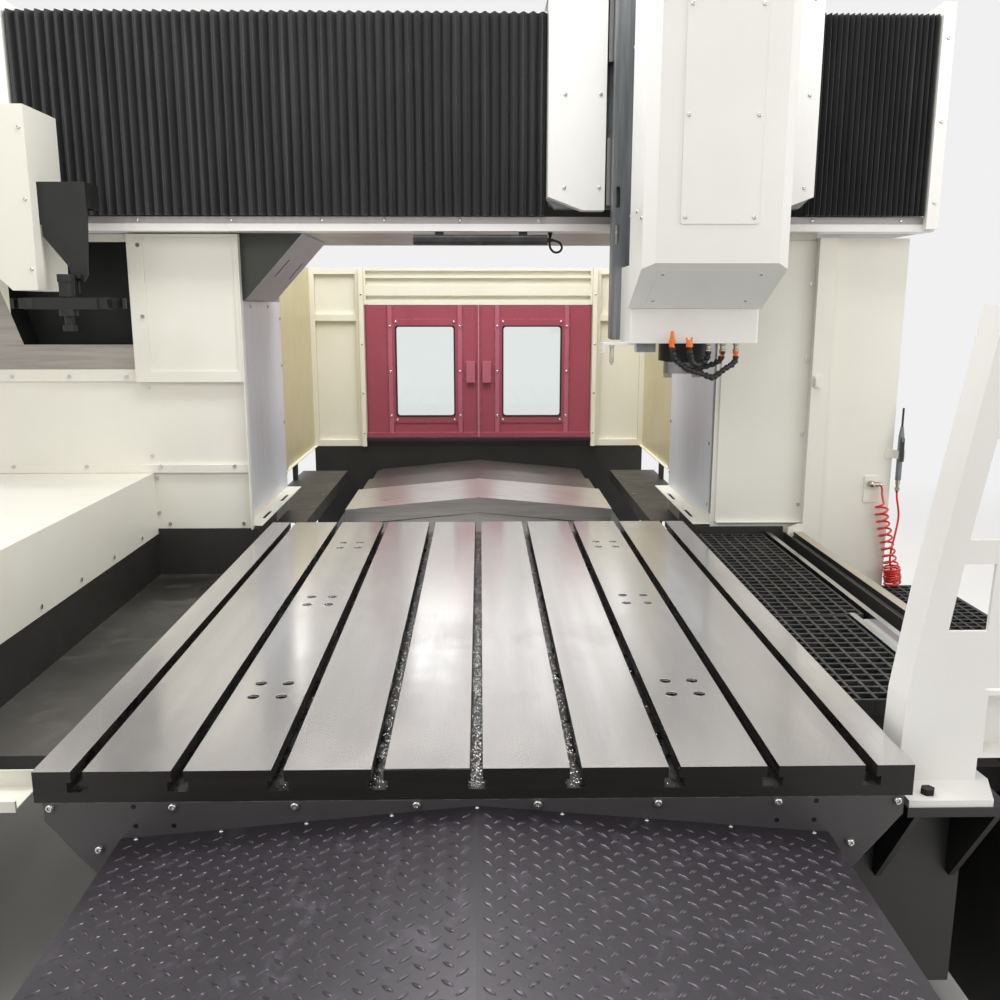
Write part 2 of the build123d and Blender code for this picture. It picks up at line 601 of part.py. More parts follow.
def front_post():
    edge = [(824, POST_FOOT), (828, 880), (831, 969), (859, 1173), (903, 1441), (950, 1720)]
    web = edge + [(1190, 1720), (1165, 1500), (1090, 1330), (1060, 1180), (1052, 1000), (981, 996), (979, POST_FOOT)]
    plate = along_y(web, POST_Y, POST_Y + 8)
    plate -= along_y([(923, 1290), (1055, 1290), (1090, 1480), (956, 1480)], POST_Y - 1, POST_Y + 9)
    plate -= along_y([(900, 1112), (975, 1112), (979, 1244), (918, 1244)], POST_Y - 1, POST_Y + 9)
    plate += along_y(edge + [(x + 8, z) for x, z in reversed(edge)], POST_Y, POST_Y + 90)
    plate += along_x([(POST_Y, POST_FOOT), (POST_Y + 84, POST_FOOT), (POST_Y + 84, 985), (POST_Y, 1024)], 973, 981)
    plate += along_x([(POST_Y, 1024), (POST_Y + 84, 985), (POST_Y + 84, 993), (POST_Y, 1032)], 943, 981)
    plate += box(981, 1190, POST_Y, POST_Y + 60, 852, 990) - box(990, 1181, POST_Y - 1, POST_Y + 52, 861, 981)
    foot = [(815, -1790), (976, -1790), (1008, -1700), (1000, -1610), (815, -1610)]
    plate += along_z(foot, POST_FOOT - 14, POST_FOOT)
    for x, y in BOLT_SPOTS:
        plate -= rod_z(9, POST_FOOT - 20, POST_FOOT + 10, x, y)
    return plate


keep("front_frame", front_post())
bolts = []
for x, y in BOLT_SPOTS:
    hex_head = Pos(x, y, POST_FOOT) * extrude(RegularPolygon(13.5, 6), amount=12)
    bolts.append(hex_head + rod_z(8.5, POST_FOOT - 36, POST_FOOT, x, y))
keep("cover_screws", group(bolts))
bracket = box(GRATE_X, 1010, -1794, -1606, POST_FOOT - 32, POST_FOOT - 14)
for x in (826, 980):
    bracket += along_x([(-1794, POST_FOOT - 32), (-1606, POST_FOOT - 32), (-1606, 560), (-1640, 560)], x, x + 12)
bracket += box(GRATE_X, 1010, -1622, -1606, 300, POST_FOOT - 32)
bracket += box(BED_W / 2, 830, -1622, -1606, 300, 600)
for x, y in BOLT_SPOTS:
    bracket -= rod_z(9, POST_FOOT - 50, POST_FOOT + 10, x, y)
keep("side_sill", bracket)

# cream channel at the front left, ending beside the table
channel_bar = along_x([(-1766, 786), (-1766, 808), (-1760, 808), (-1760, 792), (-1668, 792), (-1668, 826), (-1664, 826),
                       (-1664, 786)], -OUTER_X, -868)
channel_bar += box(-OUTER_X, -1100, -1668, GUARD_END, 770, 792)
keep("front_frame", channel_bar)


# telescopic covers: peaked roof, side skirts, and plates that wipe the next cover's roof
def cover_segment(half_width, ridge, y0, y1, front_drop=0.0, rear_drop=0.0, skirt=612):
    eave = ridge - COVER_FALL
    outer = [(0, ridge), (half_width, eave), (half_width, skirt), (-half_width, skirt), (-half_width, eave)]
    w = half_width - 2
    inner = [(0, ridge - 2), (w, eave - 2), (w, skirt - 1), (-w, skirt - 1), (-w, eave - 2)]
    shell = along_y(outer, y0, y1) - along_y(inner, y0 - 1, y1 + 1)
    for drop, y in ((front_drop, y0), (rear_drop, y1 - 2)):
        if drop:
            plate = [(0, ridge - 1), (half_width - 1, eave - 1), (half_width - 1, eave - drop), (0, ridge - drop)]
            plate += [(-half_width + 1, eave - drop), (-half_width + 1, eave - 1)]
            shell += along_y(plate, y, y + 2)
    return shell


def bulkhead(half_width, ridge, y0):
    # carries a fixed cover on the bed, on both sides of the screw
    def roof(x):
        return ridge - 1 - COVER_FALL * x / half_width

    web = along_y([(215, BED_TOP), (480, BED_TOP), (480, roof(480)), (215, roof(215))], y0, y0 + 12)
    return web + mirror(web, about=Plane.YZ)


RIDGE = 827.0
COVER_FALL = 59.0
STEP = 16.0
NARROW = 9.0
WIPER = STEP - RUN
# front group: the first rides with the table, the last is fixed to the bed
HALF = 650.0
front_ends = (table_front - 640, -2584.4, -2694.9, -2805.2, -REAR_Y)
front_names = ("table_end_covers", "front_cover_2", "front_cover_3", "front_cover_4", "fixed_end_covers")
for index, (name, y0) in enumerate(zip(front_names, front_ends)):
    half = HALF - index * NARROW
    ridge = RIDGE - index * STEP
    seg = cover_segment(half, ridge, y0, y0 + 640, WIPER if index < 4 else 60)
    if index == 4:
        seg += bulkhead(half, ridge, y0 + 42)
    keep(name, seg)
# rear group: the last is fixed at the rear wall, two low ones bridge to the table
REAR_HALF = 643.0
LOW_RIDGE = 752.0
rear_near = (1300.0, 1740.0, 2180.0, 2490.0)
rear_len = (560.0, 560.0, 560.0, 405.0)
rear_names = ("rear_cover_1", "rear_cover_2", "rear_cover_3", "fixed_end_covers")
for index, (name, y0, length) in enumerate(zip(rear_names, rear_near, rear_len)):
    half = REAR_HALF - index * NARROW
    ridge = RIDGE - index * STEP
    front_drop = RIDGE - LOW_RIDGE - RUN if index == 0 else 12
    seg = cover_segment(half, ridge, y0, y0 + length, front_drop, WIPER if index < 3 else 0)
    if index == 3:
        seg += bulkhead(half, ridge, y0 + 380)
    keep(name, seg)
keep("rear_cover_low", cover_segment(604, LOW_RIDGE, 777, 777 + 640, WIPER))
keep("table_end_covers", cover_segment(595, LOW_RIDGE - STEP, table_back, table_back + 520))


# pleated way covers on both sides of the saddle
def pleats(x0, x1, count, y_front, y_back, z0, z1):
    step = (x1 - x0) / count
    front = []
    for index in range(count):
        front.append((x0 + step * index, y_back - 4))
        front.append((x0 + step * (index + 0.5), y_front))
    front.append((x1, y_back - 4))
    outline = front + [(x1, y_back), (x0, y_back)]
    return along_z(outline, z0, z1)


SADDLE_X0 = HEAD_X - SADDLE_W / 2
SADDLE_X1 = HEAD_X + SADDLE_W / 2
keep("left_bellows", pleats(-PLEAT_END, SADDLE_X0, 42, 206, 240, 2035, 2700))
keep("right_bellows", pleats(SADDLE_X1, PLEAT_END, 10, 206, 240, 2035, 2700))


# saddle: plate casting with stiffening webs, carriages and drive nut
def saddle():
    plate = box(SADDLE_X0, SADDLE_X1, SADDLE_FRONT + 10, 250, SADDLE_BASE + 12, SADDLE_TOP - 10)
    plate = chamfer(plate.edges().filter_by(Axis.Y), 30)
    for side in (-1, 1):
        plate += box(HEAD_X + side * 190 - 60, HEAD_X + side * 190 + 60, SADDLE_FRONT, SADDLE_FRONT + 12,
                     SADDLE_BASE + 14, SADDLE_TOP - 12)
        window = Pos(HEAD_X + side * 345, 215, SCREW_Z) * Rot(90, 0, 0)
        plate -= window * extrude(RectangleRounded(130, 240, 50), amount=60, both=True)
    return plate


keep("saddle", saddle())
carriages = []
for z in BEAM_RAIL_Z:
    for dx in (-320, 320):
        x0, x1 = HEAD_X + dx - 130, HEAD_X + dx + 130
        for sign in (-1, 1):
            pts = [(BEAM_FRONT - pz, z + sign * px) for px, pz in block_profile()]
            carriages.append(along_x(pts, x0, x1))
z_blocks = []
for dx in (-190, 190):
    for z in (2170, 2630):
        for sign in (-1, 1):
            pts = [(HEAD_X + dx + sign * px, 100 + pz) for px, pz in block_profile()]
            z_blocks.append(along_z(pts, z - 110, z + 110))
keep("saddle_carriages", group(carriages + z_blocks))
x_nut = rod_x(54, HEAD_X - 120, HEAD_X + 120, BEAM_FRONT - 20, SCREW_Z)
x_nut += box(HEAD_X - 80, HEAD_X + 80, 250, BEAM_FRONT - 40, SCREW_Z - 60, SCREW_Z + 60)
x_nut -= rod_x(31.5 + RUN, HEAD_X - 200, HEAD_X + 200, BEAM_FRONT - 20, SCREW_Z)
keep("saddle_carriages", x_nut)


def saddle_cover(x0, x1):
    face = [(x0, SADDLE_BASE + 45), (x0, SADDLE_TOP), (x1, SADDLE_TOP), (x1, SADDLE_BASE), (x0 + 120, SADDLE_BASE)]
    shell = along_y(face, 128, SADDLE_FRONT + 10)
    inner = [(x0 + 3, SADDLE_BASE + 46), (x0 + 3, SADDLE_TOP - 3), (x1 - 3, SADDLE_TOP - 3), (x1 - 3, SADDLE_BASE + 3)]
    inner += [(x0 + 121, SADDLE_BASE + 3)]
    return shell - along_y(inner, 131, SADDLE_FRONT + 11)


left_cover = saddle_cover(SADDLE_X0, HEAD_X - 264)
right_cover = flip(left_cover, HEAD_X)
keep("saddle_covers", group([left_cover, right_cover]))
keep("saddle_covers", box(SADDLE_X0, SADDLE_X1, SADDLE_FRONT + 10, BEAM_FRONT + 80, SADDLE_TOP - 10, SADDLE_TOP - 7))

# headstock casting with its guide plate, rails and the bore for the spindle unit
HEAD_TOP = 3270.0
CART_R = 100.0


def headstock():
    plate = box(HEAD_X - 246, HEAD_X + 246, 46, 100, LOWER_BASE + 5, HEAD_TOP)
    plate = fillet(plate.edges().filter_by(Axis.Y), 10)
    for z in (1960, 2080):
        slot = Pos(HEAD_X - 228, 60, z) * Rot(90, 0, 0)
        plate -= slot * extrude(SlotOverall(70, 14, rotation=90), amount=80, both=True)
    body = [(-174, 46), (-174, -90), (-110, -150), (110, -150), (174, -90), (174, 46)]
    cast = along_z([(HEAD_X + x, y) for x, y in body], LOWER_BASE + 12, 3000)
    shape = plate + cast
    shape -= rod_z(CART_R, LOWER_BASE - 10, 2420, HEAD_X, 0)
    shape -= rod_z(70, 2400, 3010, HEAD_X, 0)
    return shape


keep("headstock", headstock())
keep("headstock", group(
    along_z([(HEAD_X + dx + px, 100 + pz) for px, pz in guide_rail()], 1745, 3255) for dx in (-190, 190)))


def head_cover():
    half = COVER_HALF
    c = COVER_CHAMFER
    back = LOWER_FRONT - 1

    def plan(t, y_back):
        pts = [(half - t, y_back), (half - t, COVER_FRONT + c), (half - c - t * 0.4, COVER_FRONT + t)]
        full = pts + [(-x, y) for x, y in reversed(pts)]
        return [(HEAD_X + x, y) for x, y in full]

    def side(t, y_back):
        slope = (COVER_FRONT_BASE - LOWER_TOP) / (LOWER_FRONT - COVER_FRONT)
        tail = LOWER_TOP + (LOWER_FRONT - y_back) * slope
        front = COVER_FRONT_BASE
        return [(COVER_FRONT, front + t), (COVER_FRONT, 2650 - t), (y_back, 2650 - t), (y_back, tail + t)]

    outer = along_z(plan(0, back), 1600, 2700) & along_x(side(0, back), HEAD_X - 400, HEAD_X + 400)
    inner = along_z(plan(SHEET, back + 5), 1600, 2700) & along_x(side(SHEET, back + 5), HEAD_X - 400, HEAD_X + 400)
    shell = outer - inner
    # raised service panel on the front face
    panel = box(HEAD_X - 114, HEAD_X + 114, COVER_FRONT - 5, COVER_FRONT, 1953, 2560)
    shell += fillet(panel.edges().filter_by(Axis.Y), 6)
    # brackets that screw the cover to the casting
    for z in (2000, 2500):
        for side in (-1, 1):
            shell += box(HEAD_X + side * 137 - 78, HEAD_X + side * 137 + 78, back - 16, -150, z, z + 6)
    return shell


keep("head_cover", head_cover())
lower = box(HEAD_X - 210, HEAD_X + 210, LOWER_FRONT, 46, LOWER_BASE, LOWER_TOP)
lower = fillet(lower.edges().filter_by(Axis.Z).sort_by(Axis.Y)[:2], 8)
lower -= box(HEAD_X - 207, HEAD_X + 207, LOWER_FRONT + 3, 50, LOWER_BASE + 3, LOWER_TOP + 5)
lower -= rod_z(84, LOWER_BASE - 5, LOWER_BASE + 10, HEAD_X, 0)
for side in (-1, 1):
    lower += box(HEAD_X + side * 208.5 - 1.5, HEAD_X + side * 208.5 + 1.5, LOWER_FRONT, 46, LOWER_TOP, 1850)
keep("lower_head_cover", lower)

# spindle unit: cartridge, bearings, rotor with taper bore and drive keys, motor
cart = revolve(Plane.XZ * make_face(Polyline((66, 1540), (82, 1540), (82, 1612), (CART_R, 1640), (CART_R, 2420),
                                             (66, 2420), close=True)), Axis.Z)
cart -= Cylinder(78, 60, align=(Align.CENTER, Align.CENTER, Align.MIN)).moved(Location((0, 0, 1600)))
cart -= Cylinder(78, 60, align=(Align.CENTER, Align.CENTER, Align.MIN)).moved(Location((0, 0, 2260)))
keep("spindle_cartridge", Pos(HEAD_X, 0, 0) * cart)


def bearing(z):
    outer = rod_z(78, z, z + 26, HEAD_X, 0) - rod_z(71.5, z, z + 26, HEAD_X, 0)
    inner = rod_z(62.4, z, z + 26, HEAD_X, 0) - rod_z(58.0, z, z + 26, HEAD_X, 0)
    balls = [Pos(HEAD_X, 0, z + 13) * loc * Sphere(4.4) for loc in PolarLocations(66.9, 18)]
    return [outer, inner] + balls


keep("spindle_cartridge", group(bearing(1600) + bearing(1626) + bearing(2260) + bearing(2286)))
gauge = TAPER_R
depth = 105.0
small = gauge - depth * TAPER_RATIO / 2
rotor_pts = [(gauge, NOSE_Z), (SPINDLE_R, NOSE_Z), (SPINDLE_R, 1537), (57.9, 1540.5), (57.9, 2330), (40, 2345)]
rotor_pts += [(40, 2440), (20, 2440), (20, NOSE_Z + depth + 30), (small, NOSE_Z + depth)]
rotor = revolve(Plane.XZ * make_face(Polyline(*rotor_pts, close=True)), Axis.Z)
for side in (-1, 1):
    key = Pos(side * 49, 0, NOSE_Z - 6) * Box(24, 25, 20)
    rotor += key - Cylinder(gauge + 2, 40).moved(Location((0, 0, NOSE_Z)))
keep("spindle_rotor", Pos(HEAD_X, 0, 0) * rotor)
motor = rod_z(66, 2445, 2990, HEAD_X, 0) + rod_z(60, 3001, 3010, HEAD_X, 0)
flange = rod_z(92, 3000, 3010, HEAD_X, 0) & box(HEAD_X - 100, HEAD_X + 100, -100, 46, 2999, 3011)
keep("head_motors", motor + rod_z(60, 2989, 3002, HEAD_X, 0) + flange)

# vertical drive: screw in the headstock's back, nut on the saddle, servo motor on top
Z_SCREW_Y = 140.0
z_screw = rod_z(20, 1770, 3262, HEAD_X, Z_SCREW_Y)
keep("head_screw", z_screw)
end_blocks = []
for z in (1775, 3215):
    block = box(HEAD_X - 55, HEAD_X + 55, 100, 176, z, z + 40)
    end_blocks.append(fillet(block.edges().filter_by(Axis.Z), 8) - rod_z(20 + RUN, z - 10, z + 50, HEAD_X, Z_SCREW_Y))
keep("headstock", group(end_blocks))
z_nut = rod_z(37, 2330, 2440, HEAD_X, Z_SCREW_Y) - rod_z(20 + RUN, 2300, 2500, HEAD_X, Z_SCREW_Y)
z_nut += box(HEAD_X - 60, HEAD_X + 60, 158, SADDLE_FRONT + 10, 2345, 2425) - rod_z(30, 2300, 2500, HEAD_X, Z_SCREW_Y)
keep("saddle_carriages", z_nut - box(HEAD_X - 70, HEAD_X + 70, SADDLE_FRONT + 10, 260, 2300, 2500))
servo = extrude(RectangleRounded(130, 130, 16), amount=170)
servo += Pos(0, 0, 170) * extrude(RectangleRounded(110, 110, 20), amount=50)
servo += Pos(0, 0, 60) * extrude(RectangleRounded(138, 138, 10), amount=12)
servo = Pos(HEAD_X, 110, HEAD_TOP) * servo
keep("head_motors", servo)

# coolant ring under the cover with fittings, tapered nozzles and ball link hoses
RING_Z = LOWER_BASE


def fitting(x, y):
    body = revolve(Plane.XZ * make_face(Polyline((0, 0), (11, 0), (11, -6), (8, -9), (8, -20), (10, -22), (10, -27),
                                                 (0, -27), close=True)), Axis.Z)
    return Pos(x, y, RING_Z) * body


FIT_SPOTS = ((766, -122), (814, -118), (862, -104))
keep("head_fittings", group(fitting(x, y) for x, y in FIT_SPOTS))


def link():
    # one ball and socket link, about 22 mm long
    pts = [(4, 0), (9.5, 0), (10.5, 4), (8.5, 10), (6.8, 13), (8.6, 18), (7.4, 22), (4, 22)]
    return revolve(Plane.XZ * make_face(Polyline(*pts, close=True)), Axis.Z)


def link_chain(points, pitch=17.0):
    path = Spline(*points, tangents=(Vector(0, 0, -1), (Vector(*points[-1]) - Vector(*points[-2])).normalized()))
    count = max(2, int(path.length / pitch))
    one = link()
    return [path.location_at((index + 0.01) / count) * one for index in range(count)]


# two hoses turn up in front of the cover and end in tapered nozzles, one ends beside the spindle nose
HOSES = (
    ((862, -104, 1575.6), (862, -104, 1567), (862, -106, 1556), (853, -114, 1537), (830, -123, 1522), (803, -132, 1503), (782, -140, 1492),
     (750, -149, 1500), (720, -156, 1509), (688, -166, 1521), (658, -181, 1541), (638, -196, 1562), (630, -204, 1586),
     (629, -205, 1602)),
    ((766, -122, 1575.6), (766, -122, 1567), (764, -121, 1557), (752, -119, 1542), (732, -132, 1532), (714, -156, 1536), (699, -181, 1548),
     (690, -199, 1572), (686, -204, 1588)),
    ((814, -118, 1575.6), (814, -118, 1567), (812, -115, 1556), (800, -105, 1540), (776, -97, 1528), (748, -92, 1518), (720, -88, 1512)),
)
hoses = []
for points in HOSES:
    hoses += link_chain(points)


def nozzle(x, y, z, length):
    tip = revolve(Plane.XZ * make_face(Polyline((3, 0), (11, 0), (11, 8), (8.5, 10), (4.5, length), (3, length),
                                                close=True)), Axis.Z)
    return Pos(x, y, z) * tip


hoses += [nozzle(629, -205, 1606, 37), nozzle(686, -204, 1592, 22)]
for dx in (-8, 6):
    horn = Pos(686 + dx * 0.7, -204, 1606) * Rot(0, dx * 2.2, 0) * Cone(4.5, 2.5, 18, align=(Align.CENTER, Align.CENTER, Align.MIN))
    hoses.append(horn)
keep("coolant_hoses", group(hoses))
probe = box(413, 519, -150, -60, 1596, LOWER_BASE) + box(413, 419, -150, -60, 1569, LOWER_BASE)
keep("head_fittings", probe)
sensor = rod_z(7, 1538, 1592, 447, -105) + rod_z(11, 1592, 1596, 447, -105) + rod_z(4, 1530, 1538, 447, -105)
keep("head_fittings", sensor)
switch = box(524, 588, -140, -90, 1573, LOWER_BASE)
keep("head_fittings", fillet(switch.edges().filter_by(Axis.Z), 6))

# tool changer: hanging bracket, motor, lift shaft and swinging double arm
ATC_X = -1357.0
ATC_Y = 0.0
SHROUD_X = -1443.0
hanger = [(SHROUD_X, 2120), (-1286, 2120), (-1286, 2016), (-1300, 1823), (-1314, 1801), (-1345, 1801), (-1361, 1852)]
hanger += [(-1436, 1948), (-1436, 1985), (SHROUD_X, 1985)]
arm_plate = along_y(hanger, -6, 6) + box(SHROUD_X, -1286, 6, 118, 2040, 2120)
keep("changer_bracket", arm_plate - box(SHROUD_X + 10, -1296, 18, 108, 2030, 2110))
head = rod_z(28, 1800, 1824, ATC_X, ATC_Y - 46) + rod_z(25, 1752, 1800, ATC_X, ATC_Y - 46)
keep("changer_bracket", head + box(ATC_X + 6, ATC_X + 40, -26, -6, 1812, 1824))


def changer_arm():
    bar = Pos(ATC_X, ATC_Y - 46, 1711) * extrude(RectangleRounded(280, 44, 10), amount=38)
    for side in (-1, 1):
        jaw = Pos(ATC_X + side * 144, ATC_Y - 46, 1713) * extrude(Circle(46), amount=34)
        jaw -= Pos(ATC_X + side * 149, ATC_Y - 46, 1700) * Cylinder(30, 120)
        jaw -= Pos(ATC_X + side * 174, ATC_Y - 46 - 30, 1730) * Box(60, 60, 60)
        bar += jaw
    bar += rod_z(30, 1690, 1711, ATC_X, ATC_Y - 46) + rod_z(22, 1640, 1660, ATC_X, ATC_Y - 46)
    return bar + rod_z(15, 1640, 1752 - RUN, ATC_X, ATC_Y - 46)


keep("changer_arm", changer_arm())
keep("changer_bracket", rod_z(6, 1765, 1801, -1336, 0))

# magazine: cream shroud with slanted foot, wheel with tool pots behind the front wall
shroud = [(-OUTER_X, 2350), (SHROUD_X, 2350), (SHROUD_X, 1980), (SHROUD_X - 4, 1772), (-1528, 1772), (-1591, 1833)]
shroud += [(-OUTER_X, 1833)]
shell = along_y(shroud, -60, 205)
inner = [(-OUTER_X + SHEET, 2347), (SHROUD_X - 3, 2347), (SHROUD_X - 3, 1980), (SHROUD_X - 7, 1775), (-1527, 1775)]
inner += [(-1590, 1836), (-OUTER_X + SHEET, 1836)]
shell -= along_y(inner, -57, 202)
shell -= box(-OUTER_X + 60, -1490, 190, 210, 1870, 2240)
shell += box(-1660, -1577, 202, 205, 1870, 2240)
keep("magazine_shroud", shell)
MAG_X = -1560.0
MAG_Y = 965.0
MAG_Z = 1500.0
wheel = rod_x(420, MAG_X + 120, MAG_X + 136, MAG_Y, MAG_Z) - rod_x(30 + RUN, MAG_X + 100, MAG_X + 150, MAG_Y, MAG_Z)
wheel -= [Pos(MAG_X + 128, MAG_Y, MAG_Z) * Rot(0, 90, 0) * loc * Cylinder(80, 40) for loc in PolarLocations(230, 6)]
pots = []
for loc in PolarLocations(385, 20):
    pot = Pos(MAG_X + 136, MAG_Y, MAG_Z) * Rot(0, 90, 0) * loc * (Cylinder(44, 90, align=(Align.CENTER, Align.CENTER, Align.MIN))
                                                                  - Pos(0, 0, 10) * Cone(22, 34, 90, align=(Align.CENTER, Align.CENTER, Align.MIN)))
    pots.append(pot)
keep("magazine_wheel", wheel)
keep("magazine_wheel", group(pots))
hub = rod_x(30, MAG_X + 20, MAG_X + 150, MAG_Y, MAG_Z) + rod_x(70, MAG_X + 20, MAG_X + 100, MAG_Y, MAG_Z)
stand = along_x([(MAG_Y - 260, 60), (MAG_Y + 260, 60), (MAG_Y + 90, MAG_Z + 60), (MAG_Y - 90, MAG_Z + 60)], MAG_X - 40, MAG_X + 20)
stand -= along_x([(MAG_Y - 170, 200), (MAG_Y + 170, 200), (MAG_Y + 80, 1200), (MAG_Y - 80, 1200)], MAG_X - 50, MAG_X + 30)
stand += box(MAG_X - 160, MAG_X + 160, MAG_Y - 300, MAG_Y + 300, 0, 60)
stand += box(MAG_X, -COLUMN_OUT, MAG_Y - 250, MAG_Y - 190, 120, 180)
keep("magazine_stand", stand + hub)


# rear doors with framed windows and pulls, each on two pivot pins
def door(sign):
    y0, y1 = REAR_Y - 28, REAR_Y
    x_in, x_out = 0.5, 702.0
    leaf = box(x_in, x_out, y0, y1, 921, 1737)
    leaf = fillet(leaf.edges().filter_by(Axis.Z).sort_by(Axis.X)[-2:], 13.9)
    leaf += rod_z(PIN_R, 900, 1757, PIN_X, PIN_Y)
    leaf += box(97, 566, y0 - 5, y0, 1012, 1651)
    leaf -= box(150, 513, y0 - 6, y1 + 5, 1054, 1609)
    for x0, x1 in ((97, 135), (528, 566)):
        leaf += along_z([(x0, y0), (x0 + 6, y0 - 12), (x1 - 6, y0 - 12), (x1, y0)], 924, 1734)
    leaf += box(x_in, x_in + 11, y0 - 9, y0, 921, 1737)
    leaf += box(x_in, x_out, y0 - 14, y0, 921, 952)
    pull = box(24, 76, y0 - 26, y0, 1264, 1394) - box(34, 66, y0 - 20, y0 + 1, 1280, 1378)
    leaf += pull
    if sign < 0:
        leaf = flip(leaf)
    return leaf


for sign, side in ((-1, "left"), (1, "right")):
    keep(side + "_rear_door", door(sign))
    glass = box(150, 513, REAR_Y - 16, REAR_Y - 10, 1054, 1609)
    keep(side + "_door_window", glass if sign > 0 else flip(glass))

# work lamp under the beam, with its clips
lamp = Pos(12, 262, 1954) * Rot(0, 90, 0) * extrude(RectangleRounded(34, 60, 12), amount=240, both=True)
lamp += box(-150, -120, 250, 300, 1968, 1983) + box(150, 180, 250, 300, 1968, 1983)
keep("work_lamp", lamp)

# lead of the lamp, looped up to the beam cover
def cord_path(points):
    radii = []
    for before, here, after in zip(points, points[1:], points[2:]):
        first = Vector(*here) - Vector(*before)
        second = Vector(*after) - Vector(*here)
        turn = math.radians(first.get_angle(second))
        radii.append(0.45 * min(first.length, second.length) / math.tan(turn / 2))
    print("cord radii", [round(radius, 1) for radius in radii])
    return FilletPolyline(*points, radius=radii)


def tube(points, radius):
    path = cord_path(points)
    return sweep(Plane(origin=path @ 0, z_dir=path % 0) * Circle(radius), path=path)


LEAD_R = 4.0
LEAD = ((252, 262, 1954), (275, 262, 1954), (297, 264, 1947), (308, 270, 1930), (300, 280, 1914), (281, 286, 1911),
        (266, 290, 1924), (262, 296, 1944), (265, 300, 1962), (265, 300, 1983))
keep("lamp_lead", tube(LEAD, LEAD_R))

# hose bracket on the right panel, curly air hose, blow gun and its trigger
PANEL_Y = WALL_Y - SHEET
plate = box(1497, 1556, PANEL_Y - 4, PANEL_Y, 976, 1080)
plate = fillet(plate.edges().filter_by(Axis.Y), 6)
plate += rod_y(13, 323, PANEL_Y - 4, 1522, 1050)
elbow = rod_x(9, 1522, 1540, 323, 1050)
keep("hose_bracket", plate + elbow + Pos(1522, 323, 1050) * Sphere(13))
GUN_X = 1620.0
GUN_Y = 322.0
GUN_Z = 1037.0
GRIP_Z = GUN_Z + 30
NECK_Z = GRIP_Z + 170
PIVOT_Z = NECK_Z - 14
GRIP_W = 20.0
FORK = 3.5
arm = GRIP_W / 2 + 0.5
holder = box(1570, GUN_X + arm + FORK, PANEL_Y - SHEET, PANEL_Y, GRIP_Z + 83, GRIP_Z + 115)
for side in (-1, 1):
    x = GUN_X + side * (arm + FORK / 2)
    holder += box(x - FORK / 2, x + FORK / 2, GUN_Y - 12, PANEL_Y - SHEET, GRIP_Z + 83, GRIP_Z + 115)
keep("hose_bracket", holder)
HOSE_R = 4.0
HOSE_IN = ((1540, 323, 1050), (1549, 323, 1050), (1558, 321, 1043), (1561, 319, 1030), (1560, 316, 1012), (1556, 313, 990))
COIL = ((1556, 313, 990), (1561, 312, 945), (1574, 312, 890), (1590, 311, 830), (1606, 312, 768), (1619, 311, 713),
        (1626, 312, 656))
HOSE_OUT = ((1612, 312, 790), (1622, 314, 845), (1631, 318, 890), (1635, 321, 930), (1629, 322, 965), (1622, 322, 995),
            (1620, 322, 1018), (1620, 322, 1037))
COIL_R = 26.0
hose = tube(HOSE_IN, HOSE_R) + tube(COIL, COIL_R) + tube(HOSE_OUT, HOSE_R)
keep("air_hose", hose)
body = rod_z(7, GUN_Z, GUN_Z + 14, GUN_X, GUN_Y) + rod_z(9, GUN_Z + 14, GRIP_Z, GUN_X, GUN_Y)
grip = Pos(GUN_X, GUN_Y, GRIP_Z) * extrude(RectangleRounded(GRIP_W, GRIP_W, 7), amount=NECK_Z - GRIP_Z)
neck = loft([Plane(origin=(GUN_X, GUN_Y, NECK_Z)) * RectangleRounded(GRIP_W, GRIP_W, 7),
             Plane(origin=(GUN_X, GUN_Y, NECK_Z + 35)) * Circle(6)])
spout = rod_z(4, NECK_Z + 35, NECK_Z + 107, GUN_X, GUN_Y) - rod_z(2, NECK_Z + 50, NECK_Z + 120, GUN_X, GUN_Y)
lug = box(GUN_X - 4, GUN_X + 4, GUN_Y - 17, GUN_Y, PIVOT_Z - 6, PIVOT_Z + 6)
lug -= rod_x(2.5 + RUN, GUN_X - 9, GUN_X + 9, GUN_Y - 14, PIVOT_Z)
keep("air_gun", body + grip + neck + spout + lug)
lever = along_x([(GUN_Y - 17, PIVOT_Z + 8), (GUN_Y - 11, PIVOT_Z + 8), (GUN_Y - 12, PIVOT_Z - 10),
                 (GUN_Y - 19, PIVOT_Z - 82), (GUN_Y - 23, PIVOT_Z - 82)], GUN_X - 7, GUN_X + 7)
lever -= box(GUN_X - 4.5, GUN_X + 4.5, GUN_Y - 40, GUN_Y, PIVOT_Z - 7.5, PIVOT_Z + 9)
keep("gun_trigger", lever + rod_x(2.5, GUN_X - 7, GUN_X + 7, GUN_Y - 14, PIVOT_Z))


# button head screws of the sheet metal, seen from the working side
def screw_y(x, z, y=WALL_Y - SHEET):
    return Pos(x, y, z) * Rot(90, 0, 0) * cap_screw(7, 4, 3)


def screw_x(x, y, z, side):
    return Pos(x, y, z) * Rot(0, -90 * side, 0) * cap_screw(7, 4, 3)


